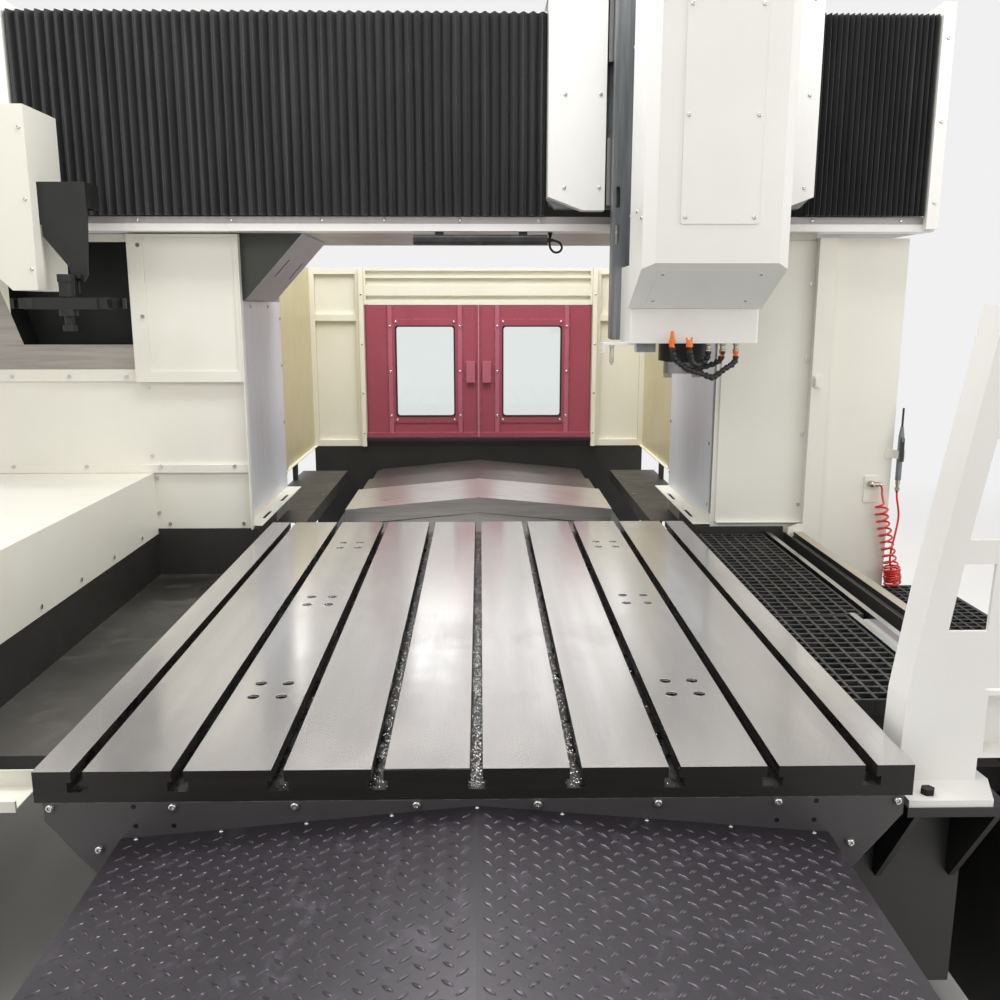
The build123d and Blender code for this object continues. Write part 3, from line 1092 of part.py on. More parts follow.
wall_screws = [screw_y(-1230, z, WALL_Y - 30) for z in (1939, 1686)]
wall_screws += [screw_y(-1238, 1426), screw_y(-1240, 1166), screw_y(-1229, 1080), screw_y(-1228, 945)]
wall_screws += [screw_y(x, 1127, WALL_Y - 16) for x in (-1762, -1486, -1207, -927)]
wall_screws += [screw_y(x, 1466, WALL_Y - 14) for x in (-1736, -1523, -1310)]
wall_screws += [screw_y(x, 902) for x in (-1190, -907)]
wall_screws += [screw_x(-1237, y, 889, -1) for y in (142, -153, -446, -742, -1040, -1340)]
wall_screws += [screw_y(1243, z) for z in (1804, 1527, 1246, 970)]
for side in (-1, 1):
    edge = side * (COLUMN_IN - SHEET)
    wall_screws += [screw_x(edge, y, z, side) for y in (400, 1215) for z in (960, 1200, 1460, 1670)]
    wall_screws += [screw_x(edge, y, 1722, side) for y in (620, 960)]
    deck_edge = Pos(side * 795, 0, DECK_Z)
    wall_screws += [deck_edge * Pos(0, y, 0) * cap_screw(7, 4, 3) for y in (1300, 1620, 1940, 2200)]
keep("cover_screws", group(wall_screws))

os.makedirs("parts", exist_ok=True)
for name, solids in PARTS.items():
    piece = solids[0] if len(solids) == 1 else Compound(children=solids)
    piece.label = name
    export_step(piece, f"parts/{name}.step")
print(len(PARTS), "pieces")
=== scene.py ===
import math
import random

import bpy
import numpy as np
from mathutils import Matrix, Vector


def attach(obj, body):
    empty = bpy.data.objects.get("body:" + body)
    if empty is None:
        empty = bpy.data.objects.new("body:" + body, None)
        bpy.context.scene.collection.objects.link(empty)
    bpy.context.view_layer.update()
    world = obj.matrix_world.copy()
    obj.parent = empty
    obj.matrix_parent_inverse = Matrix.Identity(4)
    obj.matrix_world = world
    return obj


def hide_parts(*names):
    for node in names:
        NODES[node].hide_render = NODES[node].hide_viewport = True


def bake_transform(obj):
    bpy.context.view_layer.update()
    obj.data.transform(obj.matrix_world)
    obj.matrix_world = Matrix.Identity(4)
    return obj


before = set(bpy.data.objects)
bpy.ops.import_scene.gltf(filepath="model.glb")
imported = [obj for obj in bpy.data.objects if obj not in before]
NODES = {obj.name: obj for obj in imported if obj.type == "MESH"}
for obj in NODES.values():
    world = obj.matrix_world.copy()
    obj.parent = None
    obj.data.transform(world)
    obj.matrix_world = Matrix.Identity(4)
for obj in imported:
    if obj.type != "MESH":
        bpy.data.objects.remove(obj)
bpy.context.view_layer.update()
scene = bpy.context.scene
random.seed(11)
rng = np.random.default_rng(11)

# camera: the photograph's viewpoint, 1.7 m up and 1.7 m in front of the table
eye = bpy.data.cameras.new("eye")
eye.sensor_width = 36.0
eye.lens = 36.864
eye.shift_y = 0.0315
eye.clip_end = 100.0
camera = bpy.data.objects.new("camera", eye)
camera.location = (0.009, -3.554, 1.713)
camera.rotation_euler = (math.radians(77.73), 0.0, math.radians(-1.1))
scene.collection.objects.link(camera)
scene.camera = camera
scene.view_settings.view_transform = "Standard"


def rgb(text):
    parts = [int(text[i:i + 2], 16) / 255 for i in (1, 3, 5)]
    return tuple(p / 12.92 if p <= 0.04045 else ((p + 0.055) / 1.055) ** 2.4 for p in parts) + (1.0,)


def scaled(text, factor):
    return tuple(part * factor for part in rgb(text)[:3]) + (1.0,)


class Shade:
    """One node material. Coordinates are the object's own, in metres."""

    def __init__(self, name):
        self.mat = bpy.data.materials.new(name)
        self.mat.use_nodes = True
        self.nodes = self.mat.node_tree.nodes
        self.links = self.mat.node_tree.links
        self.nodes.clear()
        out = self.add("OutputMaterial")
        self.bsdf = self.add("BsdfPrincipled")
        self.links.new(self.bsdf.outputs[0], out.inputs[0])
        self.coord = self.add("TexCoord").outputs["Object"]

    def add(self, kind, **values):
        node = self.nodes.new("ShaderNode" + kind)
        for key, value in values.items():
            if hasattr(node, key):
                setattr(node, key, value)
            else:
                self.put(node, key.replace("_", " "), value)
        return node

    def put(self, node, key, value):
        socket = node.inputs[int(key)] if key.isdigit() else node.inputs[key]
        if isinstance(value, bpy.types.NodeSocket):
            self.links.new(value, socket)
        else:
            socket.default_value = value

    def set(self, **values):
        for key, value in values.items():
            self.put(self.bsdf, key.replace("_", " "), value)
        return self

    def noise(self, scale, stretch=(1, 1, 1), detail=3.0, rough=0.55, warp=0.0):
        place = self.add("Mapping", Vector=self.coord, Scale=stretch)
        node = self.add("TexNoise", Vector=place.outputs[0], Scale=scale, Detail=detail, Roughness=rough,
                        Distortion=warp)
        return node.outputs[0]

    def cells(self, scale, out="Distance"):
        return self.add("TexVoronoi", Vector=self.coord, Scale=scale).outputs[out]

    def span(self, value, lo, hi, a=0.0, b=1.0):
        node = self.add("MapRange", Value=value)
        for key, number in zip(("From Min", "From Max", "To Min", "To Max"), (lo, hi, a, b)):
            node.inputs[key].default_value = number
        return node.outputs[0]

    def math(self, operation, a, b):
        node = self.add("Math", operation=operation)
        self.put(node, "0", a)
        self.put(node, "1", b)
        return node.outputs[0]

    def mix(self, factor, a, b, blend="MIX"):
        node = self.add("Mix", data_type="RGBA", blend_type=blend)
        for index, value in ((0, factor), (6, a), (7, b)):
            self.put(node, str(index), value)
        return node.outputs[2]

    def bump(self, field, depth, normal=None):
        node = self.add("Bump", Height=field, Distance=depth, Strength=1.0)
        if normal is not None:
            self.put(node, "Normal", normal)
        return node.outputs[0]

    def soft_edge(self, radius):
        return self.add("Bevel", samples=3, Radius=radius).outputs[0]

    def edges(self, radius, lo=0.02, hi=0.25):
        # 1 along the solid's edges and 0 on its flats
        soft = self.soft_edge(radius)
        flat = self.add("NewGeometry").outputs["True Normal"]
        node = self.add("VectorMath", operation="DOT_PRODUCT")
        self.links.new(soft, node.inputs[0])
        self.links.new(flat, node.inputs[1])
        return self.span(node.outputs["Value"], 1 - lo, 1 - hi)


def paint(name, colour, rough, shade, smudge, peel=0.00006, edge=0.0012, worn=None):
    """Powder coat or brushed paint: cloudy tone, faint smudges and runs, orange peel, folded edges that
    catch light. Where worn is given, that colour shows through along chipped edges."""
    m = Shade(name)
    cloud = m.span(m.noise(1.3, detail=4), 0.35, 0.68)
    smears = m.span(m.noise(5.5, (1.0, 1.0, 0.35), detail=6, rough=0.7, warp=0.8), 0.52, 0.78)
    tone = m.mix(m.math("MULTIPLY", cloud, 0.5), rgb(colour), shade)
    tone = m.mix(m.math("MULTIPLY", smears, smudge), tone, shade)
    if worn:
        chips = m.math("MULTIPLY", m.edges(0.003), m.span(m.noise(38, detail=5), 0.45, 0.6))
        tone = m.mix(chips, tone, rgb(worn))
    m.set(Base_Color=tone, Roughness=m.span(m.noise(7.0, detail=5), 0.3, 0.7, rough - 0.06, rough + 0.09))
    m.set(Normal=m.bump(m.noise(620, detail=2), peel, m.soft_edge(edge)))
    return m


def metal(name, colour, rough, lines, scale, depth, shade=None, spread=0.1, edge=0.0008, metallic=1.0):
    """Ground, brushed or turned metal: fine lines run along the axis that has the small number in lines."""
    m = Shade(name)
    shade = shade or scaled(colour, 0.72)
    streak = m.noise(scale, lines, detail=6, rough=0.65)
    wide = tuple(min(1.0, share * 4 + 0.15) for share in lines)
    patches = m.span(m.noise(1.6, wide, detail=4, warp=0.4), 0.3, 0.7)
    tone = m.mix(m.span(streak, 0.3, 0.72), shade, rgb(colour))
    tone = m.mix(m.math("MULTIPLY", patches, 0.45), tone, shade)
    uneven = m.math("ADD", streak, m.math("MULTIPLY", patches, 0.5))
    m.set(Base_Color=tone, Metallic=metallic)
    m.set(Roughness=m.span(uneven, 0.3, 1.1, rough - spread / 2, rough + spread / 2))
    m.set(Normal=m.bump(streak, depth, m.soft_edge(edge)))
    return m


def moulded(name, colour, rough=0.5, grain=900, depth=0.00005, dust=None, edge=0.0006, **more):
    """Moulded plastic or rubber with a fine grain and a little dust on it."""
    m = Shade(name)
    tone = m.mix(m.span(m.noise(30, detail=5), 0.4, 0.75), rgb(colour), scaled(colour, 1.35))
    if dust:
        settled = m.span(m.noise(14, detail=8, rough=0.75), 0.48, 0.75)
        tone = m.mix(m.math("MULTIPLY", settled, 0.6), tone, rgb(dust))
    m.set(Base_Color=tone, Roughness=m.span(m.noise(60, detail=3), 0.3, 0.7, rough - 0.06, rough + 0.1))
    m.set(Normal=m.bump(m.noise(grain, detail=2), depth, m.soft_edge(edge)), **more)
    return m


cream = paint("cream", "#eae8de", 0.4, rgb("#dcd8ca"), 0.22)
# painted shade: a darker, yellower copy of rear_cream for the faces of the rear wall that face sideways
side_shade_cream = paint("side_shade_cream", "#d3caa4", 0.42, rgb("#bfb58b"), 0.35)
rear_cream = paint("rear_cream", "#eeebdf", 0.42, rgb("#dfdac6"), 0.3)
white = paint("white", "#efeeea", 0.35, rgb("#dddbd4"), 0.15)
# painted highlight: a lighter copy of crimson for the front faces of the door stiffeners; its chipped edges
# are wear
lit_crimson_rib = paint("lit_crimson_rib", "#b9677a", 0.4, rgb("#a04f61"), 0.4, worn="#d8a8b0")
crimson = paint("crimson", "#a64f60", 0.4, rgb("#8a3a4a"), 0.5, worn="#d09aa2")
charcoal = paint("charcoal", "#484446", 0.5, rgb("#373435"), 0.5, worn="#8b8783")
pan_black = paint("pan_black", "#272624", 0.5, rgb("#34322f"), 0.6, worn="#6d6a63")
pan_floor = paint("pan_floor", "#252422", 0.36, rgb("#66635e"), 0.9, worn="#6d6a63")
sill_black = paint("sill_black", "#1d1c1b", 0.42, rgb("#302e2b"), 0.6)
changer_grey = paint("changer_grey", "#0f100e", 0.55, rgb("#0b0c0a"), 0.5, worn="#2d2f2a")
gusset_grey = paint("gusset_grey", "#3b3c37", 0.45, rgb("#2e2f2b"), 0.5)
lining_black = paint("lining_black", "#0b0b0b", 0.6, rgb("#131312"), 0.5)
strip_grey = paint("strip_grey", "#b9b3b4", 0.4, rgb("#a09a99"), 0.3)
casting = paint("casting", "#8f9290", 0.6, rgb("#6f7271"), 0.6, peel=0.0005, edge=0.004, worn="#5b5c5b")
bed_grey = paint("bed_grey", "#63676a", 0.6, rgb("#3f4244"), 0.9, peel=0.0006, edge=0.004)
head_grey = paint("head_grey", "#f0f1ee", 0.4, rgb("#e0e2df"), 0.3)
beige = paint("beige", "#b4ac9c", 0.45, rgb("#8f8674"), 0.5)

# directions of the fine lines: along X, along Z, or none
ALONG_X, ALONG_Z, EVEN = (0.05, 1.0, 1.0), (1.0, 1.0, 0.05), (1.0, 1.0, 1.0)
steel_side = metal("steel_side", "#322f2d", 0.5, (0.08, 1.0, 1.0), 60, 0.00004, rgb("#262422"), 0.12,
                   metallic=0.5)
steel_rail = metal("steel_rail", "#c9c9c7", 0.2, (0.04, 0.04, 1.0), 90, 0.00001)
steel_sheet = metal("steel_sheet", "#e6e3e1", 0.3, ALONG_X, 70, 0.00003, rgb("#c2bebb"), 0.14, metallic=0.8)
steel_plate = metal("steel_plate", "#eef2f8", 0.42, (1.0, 1.0, 0.03), 70, 0.00002, rgb("#d9dee6"),
                    metallic=0.25)
steel_strip = metal("steel_strip", "#b4aea5", 0.36, ALONG_X, 60, 0.00003, rgb("#8f8a83"), metallic=0.7)
steel_far = metal("steel_far", "#9b9896", 0.42, ALONG_X, 60, 0.00004, rgb("#73716f"))
chequer_worn = metal("chequer_worn", "#5c585e", 0.3, EVEN, 120, 0.00003, rgb("#3e3a3f"), 0.15, metallic=0.75)
ram_grey = metal("ram_grey", "#9da0a1", 0.42, ALONG_Z, 60, 0.00004, rgb("#6b6e70"))
turned = metal("turned", "#9a9896", 0.3, (1.0, 1.0, 0.1), 120, 0.00003)
zinc = metal("zinc", "#dcdcda", 0.22, EVEN, 300, 0.00001, edge=0.0003, spread=0.08)
nickel = metal("nickel", "#c9c2ae", 0.24, EVEN, 260, 0.00002, edge=0.0004)
black_oxide = metal("black_oxide", "#2a2a2b", 0.4, EVEN, 260, 0.00002, edge=0.0005, metallic=0.7)

rubber = moulded("rubber", "#151515", 0.6)
black_plastic = moulded("black_plastic", "#17171a", 0.42, dust="#4f4c48")
grate_plastic = moulded("grate_plastic", "#1b1b1b", 0.5, 500, 0.0001, dust="#5a5752")
grey_plastic = moulded("grey_plastic", "#7d8184", 0.5)
orange = moulded("orange", "#f07a1c", 0.35)
red_tube = moulded("red_tube", "#d8281c", 0.18, 200, 0.00001, Transmission_Weight=0.12, Coat_Weight=0.4)
gun_grey = moulded("gun_grey", "#6f7477", 0.35)


def galvanised():
    """Hot dip zinc: flat crystals of slightly different brightness."""
    m = Shade("galvanised")
    flake = m.cells(60, out="Color")
    tone = m.mix(m.span(flake, 0.1, 0.9), rgb("#9b9fa5"), rgb("#b3b7bd"))
    m.set(Base_Color=tone, Metallic=0.5, Roughness=m.span(flake, 0, 1, 0.3, 0.45))
    m.set(Normal=m.bump(m.noise(90, detail=3), 0.00008, m.soft_edge(0.001)))
    return m


def ground_top():
    """Ground cast iron: long soft bands of tone, partly grinding bands and partly painted reflection, and of
    gloss, a fine straight lay, a few dull smears.
    """
    m = Shade("steel_top")
    bands = m.span(m.noise(8.5, (1.0, 0.05, 1.0), detail=1.5), 0.32, 0.68)
    lay = m.span(m.noise(420, (1.0, 0.012, 1.0), detail=1), 0.3, 0.7)
    smear = m.span(m.noise(4.2, (1.0, 0.6, 1.0), detail=4, warp=0.5), 0.5, 0.72)
    # painted reflection, in part: the long tone bands stand in for mirrored streaks of light as well as
    # grinding bands
    tone = m.mix(bands, rgb("#b3b0ae"), rgb("#cecccb"))
    tone = m.mix(m.math("MULTIPLY", lay, 0.16), tone, rgb("#908d8b"))
    tone = m.mix(m.math("MULTIPLY", smear, 0.22), tone, rgb("#9c948f"))
    rough = m.math("ADD", m.span(bands, 0, 1, 0.24, 0.15), m.math("MULTIPLY", smear, 0.05))
    m.set(Base_Color=tone, Metallic=0.72, Roughness=rough, Normal=m.soft_edge(0.0008), Anisotropic=0.75)
    # on the level top this tangent runs along the table, so highlights stretch lengthwise
    m.set(Tangent=m.add("Tangent", direction_type="RADIAL", axis="X").outputs[0])
    return m


def slot_walls():
    """Slot walls and floors: dark, wet with coolant, with fine bright chips stuck to them."""
    m = Shade("slot_walls")
    wet = m.span(m.noise(22, (1, 0.5, 1), detail=6, rough=0.7), 0.42, 0.62)
    tone = m.mix(wet, rgb("#34302d"), rgb("#171513"))
    dots = m.span(m.cells(420), 0.16, 0.1)
    where = m.span(m.noise(8, detail=4), 0.5, 0.62)
    tone = m.mix(m.math("MULTIPLY", dots, where), tone, rgb("#c9c6c1"))
    m.set(Base_Color=tone, Metallic=0.35, Roughness=m.span(wet, 0, 1, 0.5, 0.16))
    m.set(Normal=m.bump(m.noise(160, detail=5), 0.0004))
    return m


def chequer():
    """Black chequer plate: satin paint, scuffed pale where feet rub it."""
    m = Shade("chequer")
    scuff = m.span(m.noise(17, (1, 0.6, 1), detail=9, rough=0.78, warp=0.6), 0.54, 0.8)
    tone = m.mix(scuff, rgb("#353137"), rgb("#54505a"))
    tone = m.mix(m.math("MULTIPLY", m.edges(0.0012, 0.02, 0.2), 0.35), tone, rgb("#8d8988"))
    m.set(Base_Color=tone, Metallic=0.35, Roughness=m.span(scuff, 0, 1, 0.3, 0.52))
    m.set(Normal=m.bump(m.noise(300, detail=4), 0.00012))
    return m


def pleated_cloth():
    """Coated black cloth with a fine plain weave."""
    m = Shade("pleated_cloth")
    warp = m.noise(900, (0.25, 0.25, 1.6), detail=1)
    weft = m.noise(900, (1.6, 1.6, 0.25), detail=1)
    tone = m.mix(m.span(m.noise(9, (1, 1, 0.3), detail=5), 0.4, 0.7), rgb("#131314"), rgb("#242426"))
    m.set(Base_Color=tone, Roughness=0.52, Sheen_Weight=0.15)
    m.set(Normal=m.bump(m.math("MULTIPLY", warp, weft), 0.0002))
    return m


def pane():
    """Clear plastic pane with faint grease marks."""
    m = Shade("pane")
    marks = m.span(m.noise(12, detail=7, rough=0.7), 0.45, 0.75)
    m.set(Base_Color=rgb("#eef4f2"), Transmission_Weight=1.0, IOR=1.45)
    m.set(Roughness=m.span(marks, 0, 1, 0.02, 0.12))
    return m


steel_top = ground_top()
zinc_dip = galvanised()
slot_wet = slot_walls()
chequer_black = chequer()
cloth = pleated_cloth()
clear = pane()


def rounded_outline(half_x, half_y, radius, steps):
    """Rectangle with its corners rounded, anticlockwise: s (half - radius) + radius (cos b, sin b) round
    each corner, s being the signs of the corner's quarter."""
    turn = np.linspace(0, math.pi / 2, steps + 1)
    quarters = []
    for quarter, (sx, sy) in enumerate(((1, 1), (-1, 1), (-1, -1), (1, -1))):
        b = turn + quarter * math.pi / 2
        x = sx * (half_x - radius) + radius * np.cos(b)
        quarters.append(np.stack([x, sy * (half_y - radius) + radius * np.sin(b)], 1))
    return np.concatenate(quarters)


class Solid:
    """Gathers many small worked pieces into one mesh."""

    def __init__(self):
        self.verts, self.faces, self.mats, self.count = [], [], [], 0

    def add(self, verts, faces, mat=0):
        """Takes points and arrays of faces, each row of an array being one face."""
        verts = np.asarray(verts, float)
        for rows in faces:
            self.faces += (rows + self.count).tolist()
            self.mats += [mat] * len(rows)
        self.verts.append(verts)
        self.count += len(verts)

    def rings(self, rings, mat=0, caps=True):
        """Joins closed rings of equal length, one after another, with quads, and caps both ends."""
        rings = np.asarray(rings, float)
        index = np.arange(rings.shape[0] * rings.shape[1]).reshape(rings.shape[:2])
        after = np.roll(index, -1, axis=1)
        faces = [np.stack([index[:-1], after[:-1], after[1:], index[1:]], -1).reshape(-1, 4)]
        if caps:
            faces += [index[:1, ::-1], index[-1:]]
        self.add(rings.reshape(-1, 3), faces, mat)

    def sheet(self, rows):
        """Joins open rows of equal length with quads."""
        rows = np.asarray(rows, float)
        index = np.arange(rows.shape[0] * rows.shape[1]).reshape(rows.shape[:2])
        quads = np.stack([index[:-1, :-1], index[:-1, 1:], index[1:, 1:], index[1:, :-1]], -1)
        self.add(rows.reshape(-1, 3), [quads.reshape(-1, 4)])

    def turned(self, profile, origin, axis, count=20, mat=0, spin=0.0, caps=True):
        """Turned shape: p(a, k) = o + h_k w + r_k(a) (u cos a + v sin a). A pair (r, h) may carry a third
        item, 6, and its ring is then a hexagon across r."""
        w = Vector(axis).normalized()
        u = w.orthogonal().normalized()
        v = w.cross(u)
        u, v, w, o = (np.array(q) for q in (u, v, w, Vector(origin)))
        a = np.arange(count) * 2 * math.pi / count
        outward = np.cos(a + spin)[:, None] * u + np.sin(a + spin)[:, None] * v
        rings = []
        for r, h, *corners in profile:
            if corners:
                r = r / np.cos((a % (math.pi / 3)) - math.pi / 6)
            rings.append(o + h * w + np.full(count, r)[:, None] * outward)
        self.rings(rings, mat, caps)

    def block(self, lo, hi, r):
        """Box with rounded edges: rounded rectangles, drawn in by a quarter circle at both ends."""
        lo, hi = np.array(lo, float), np.array(hi, float)
        centre, half = (lo + hi) / 2, (hi - lo) / 2
        steps = 3
        levels = [(-half[2] + r * (1 - math.sin(t)), r * (1 - math.cos(t)))
                  for t in np.linspace(math.pi / 2, 0, steps + 1)]
        levels += [(-z, inset) for z, inset in reversed(levels)]
        rings = []
        for z, inset in levels:
            outline = rounded_outline(half[0] - inset, half[1] - inset, r - inset + 1e-6, steps)
            rings.append(np.column_stack([outline, np.full(len(outline), z)]) + centre)
        self.rings(rings)

    def screw(self, spot, normal, radius, height, count=16):
        """Button head with a hexagon socket."""
        r, h, socket = radius, height, radius * 0.42
        profile = [(r, 0), (r, h * 0.3), (r * 0.94, h * 0.58), (r * 0.8, h * 0.82), (r * 0.6, h)]
        profile += [(socket, h, 6), (socket, h * 0.45, 6), (socket * 0.1, h * 0.35)]
        self.turned(profile, spot, normal, count, spin=random.random())

    def object(self, name, mats, body, angle=38.0, ride=True):
        mesh = bpy.data.meshes.new(name)
        mesh.from_pydata(np.concatenate(self.verts).tolist(), [], self.faces)
        mesh.validate()
        for mat in mats:
            mesh.materials.append(mat.mat)
        mesh.polygons.foreach_set("material_index", self.mats[:len(mesh.polygons)])
        mesh.polygons.foreach_set("use_smooth", [True] * len(mesh.polygons))
        mesh.set_sharp_from_angle(angle=math.radians(angle))
        obj = bpy.data.objects.new(name, mesh)
        scene.collection.objects.link(obj)
        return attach(obj, body) if ride else obj


FRONT, BACK, LEFT, RIGHT, UP, DOWN = (0, -1, 0), (0, 1, 0), (-1, 0, 0), (1, 0, 0), (0, 0, 1), (0, 0, -1)

# cords first: the lamp's lead and the curly air hose, on the routes of the part's source
CORD_RADIUS = 0.004
LEAD = ((0.252, 0.262, 1.954), (0.275, 0.262, 1.954), (0.297, 0.264, 1.947), (0.308, 0.270, 1.930),
        (0.300, 0.280, 1.914), (0.281, 0.286, 1.911), (0.266, 0.290, 1.924), (0.262, 0.296, 1.944),
        (0.265, 0.300, 1.962), (0.265, 0.300, 1.983))
HOSE_IN = ((1.540, 0.323, 1.050), (1.549, 0.323, 1.050), (1.558, 0.321, 1.043), (1.561, 0.319, 1.030),
           (1.560, 0.316, 1.012))
COIL = ((1.556, 0.313, 0.990), (1.561, 0.312, 0.945), (1.574, 0.312, 0.890), (1.590, 0.311, 0.830),
        (1.606, 0.312, 0.768), (1.619, 0.311, 0.713), (1.626, 0.312, 0.656))
HOSE_OUT = ((1.6465, 0.3215, 0.6530), (1.640, 0.309, 0.6510), (1.631, 0.302, 0.656), (1.625, 0.303, 0.675),
            (1.617, 0.307, 0.713), (1.609, 0.311, 0.755), (1.612, 0.312, 0.790), (1.622, 0.314, 0.845),
            (1.631, 0.318, 0.890), (1.635, 0.321, 0.930), (1.629, 0.322, 0.965), (1.622, 0.322, 0.995),
            (1.620, 0.322, 1.018), (1.620, 0.322, 1.037))


def nurbs(name, points, radius=0.0):
    """Curve of order 3 that starts and ends on its outer points; with a radius it is a round cord."""
    data = bpy.data.curves.new(name, "CURVE")
    data.dimensions = "3D"
    spline = data.splines.new("NURBS")
    spline.points.add(len(points) - 1)
    for point, place in zip(spline.points, points):
        point.co = (*place, 1.0)
    spline.order_u = 3
    spline.use_endpoint_u = True
    data.resolution_u = 8
    data.bevel_depth = radius
    data.bevel_resolution = 5
    data.use_fill_caps = radius > 0
    return bpy.data.objects.new(name, data)


def line_of(points):
    """The route's own NURBS curve, read back as closely spaced points."""
    obj = nurbs("route", points)
    mesh = bpy.data.meshes.new_from_object(obj)
    line = np.empty(len(mesh.vertices) * 3)
    mesh.vertices.foreach_get("co", line)
    bpy.data.objects.remove(obj)
    bpy.data.meshes.remove(mesh)
    return line.reshape(-1, 3)


def helix(route, narrow, wide, spread, tight, share, forward, last_angle, per_turn=14):
    """Helix round a route: angle grows by 2 pi per pitch and ends at last_angle. Past share of the way the
    pitch falls from spread to tight, the radius swells from narrow to wide, and the middle moves forward."""
    line = line_of(route)
    run = np.concatenate([[0], np.cumsum(np.linalg.norm(np.diff(line, axis=0), axis=1))])
    total = run[-1]
    start, change = 0.012, 0.12
    steps = []
    at = start
    while at < total:
        mixed = min(1.0, max(0.0, (at / total - share) / change))
        steps.append((at, mixed))
        at += (spread + (tight - spread) * mixed) / per_turn
    at, mixed = np.array(steps).T

    def place(run_at):
        return np.stack([np.interp(run_at, run, line[:, axis]) for axis in range(3)], 1)

    def unit(vectors):
        return vectors / np.linalg.norm(vectors, axis=1)[:, None]

    t = unit(place(np.minimum(at + 0.004, total)) - place(at - 0.004))
    n = unit(np.array([1.0, 0, 0]) - t * t[:, :1])
    b = np.cross(t, n)
    angle = np.arange(len(at)) * 2 * math.pi / per_turn
    theta = angle + last_angle - angle[-1]
    radius = (narrow + (wide - narrow) * mixed) * (1 + 0.05 * np.sin(angle * 0.31))
    radius *= np.minimum(1.0, 0.45 + angle / 9.0)
    ring = np.cos(theta)[:, None] * n + np.sin(theta)[:, None] * b
    points = place(at) - forward * mixed[:, None] * np.array([0, 1.0, 0]) + radius[:, None] * ring
    return tuple(map(tuple, points.tolist()))


def cord_object(name, points, mat):
    obj = nurbs(name, points, CORD_RADIUS)
    obj.data.materials.append(mat.mat)
    scene.collection.objects.link(obj)
    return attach(obj, "frame")


lead = cord_object("lamp_lead_cord", LEAD, rubber)
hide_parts("lamp_lead")
relief = Solid()
boot = [(0.0075, 0), (0.0075, 0.004), (0.0068, 0.006), (0.0062, 0.012), (0.0055, 0.018), (0.0047, 0.022),
        (0.0041, 0.0225)]
relief.turned(boot, (0.2521, 0.262, 1.954), RIGHT)
boot = [(0.0085, 0), (0.0085, 0.004), (0.007, 0.006), (0.006, 0.012), (0.0048, 0.018), (0.0041, 0.0185)]
relief.turned(boot, (0.265, 0.300, 1.983), DOWN)
relief_obj = relief.object("lamp_lead_relief", [rubber], "frame")

turns = helix(COIL, narrow=0.0235, wide=0.0305, spread=0.0285, tight=0.0094, share=0.70, forward=0.0075,
              last_angle=-0.9)
hose = cord_object("curly_air_hose", HOSE_IN + turns + HOSE_OUT, red_tube)
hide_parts("air_hose")
ends = Solid()
nut = [(0.0095, 0), (0.0095, 0.006), (0.0085, 0.007), (0.0085, 0.011), (0.007, 0.012), (0.0062, 0.02),
       (0.0045, 0.024)]
ends.turned(nut, (1.5395, 0.323, 1.050), RIGHT, 24)
nut = [(0.0085, 0, 6), (0.0085, 0.009, 6), (0.007, 0.010), (0.007, 0.015), (0.0045, 0.02)]
ends.turned(nut, (1.620, 0.322, 1.0375), DOWN, 24)
ends_obj = ends.object("hose_end_nuts", [nickel], "frame")


# finishes of the carried over solids
def dress(node, base, *rules):
    """Gives a solid its materials: each rule is a material and a test on face middles and normals."""
    mesh = NODES[node].data
    mesh.materials.clear()
    mesh.materials.append(base.mat)
    count = len(mesh.polygons)
    middle, normal = np.empty(count * 3), np.empty(count * 3)
    mesh.polygons.foreach_get("center", middle)
    mesh.polygons.foreach_get("normal", normal)
    middle, normal = middle.reshape(-1, 3), normal.reshape(-1, 3)
    index = np.zeros(count, int)
    for mat, test in rules:
        hit = test(middle, normal)
        mesh.materials.append(mat.mat)
        index[hit] = len(mesh.materials) - 1
    mesh.polygons.foreach_set("material_index", index)
    mesh.update()


def within(x=None, y=None, z=None):
    """Test for faces whose middle lies in the given spans, in metres."""
    def test(c, n):
        hit = np.ones(len(c), bool)
        for axis, span in enumerate((x, y, z)):
            if span:
                hit &= (c[:, axis] >= span[0]) & (c[:, axis] <= span[1])
        return hit
    return test


def both(*tests):
    """All of the tests at once, for faces that each of them names."""
    return lambda c, n: np.logical_and.reduce([test(c, n) for test in tests])


def faces_up(c, n):
    return n[:, 2] > 0.9


def table_slots(c, n):
    # walls and floors of the slots: below the top, above the slot floors, and not facing along the table
    return (c[:, 2] > 0.855) & (c[:, 2] < 0.8995) & (np.abs(c[:, 0]) < 0.78) & (np.abs(n[:, 1]) < 0.9)


dress("table", steel_side, (steel_top, both(faces_up, within(z=(0.8985, 0.91)))), (slot_wet, table_slots))
dress("table_end_plates", charcoal)
dress("table_end_covers", chequer_black, (steel_far, within(y=(0.0, 2.0))))
for name in ("front_cover_2", "front_cover_3", "front_cover_4"):
    dress(name, chequer_black)
dress("fixed_end_covers", chequer_black, (steel_far, within(y=(0.0, 3.0))))
dress("rear_cover_1", steel_sheet)
for name in ("rear_cover_2", "rear_cover_3", "rear_cover_low"):
    dress(name, steel_far)
dress("bed_casting", bed_grey)
dress("levelling_feet", black_oxide)
dress("rails_and_screws", steel_rail)
dress("table_carriages", turned)
dress("left_column", casting)
dress("right_column", casting, (cream, both(lambda c, n: n[:, 1] < -0.9, within(y=(0.3, 0.45)))))
dress("crossbeam", casting, (strip_grey, lambda c, n: (n[:, 2] < -0.9) & (c[:, 2] < 2.0)))
dress("beam_covers", white, (strip_grey, within(x=(-1.60, 1.29), y=(0.2425, 0.30), z=(2.004, 2.04))))
dress("column_liners", steel_plate, (zinc_dip, within(y=(0.352, 0.931), z=(1.7445, 1.99))),
      (gusset_grey, within(y=(0.351, 0.3585), z=(1.7445, 1.99))), (cream, within(z=(0.88, 0.931))))
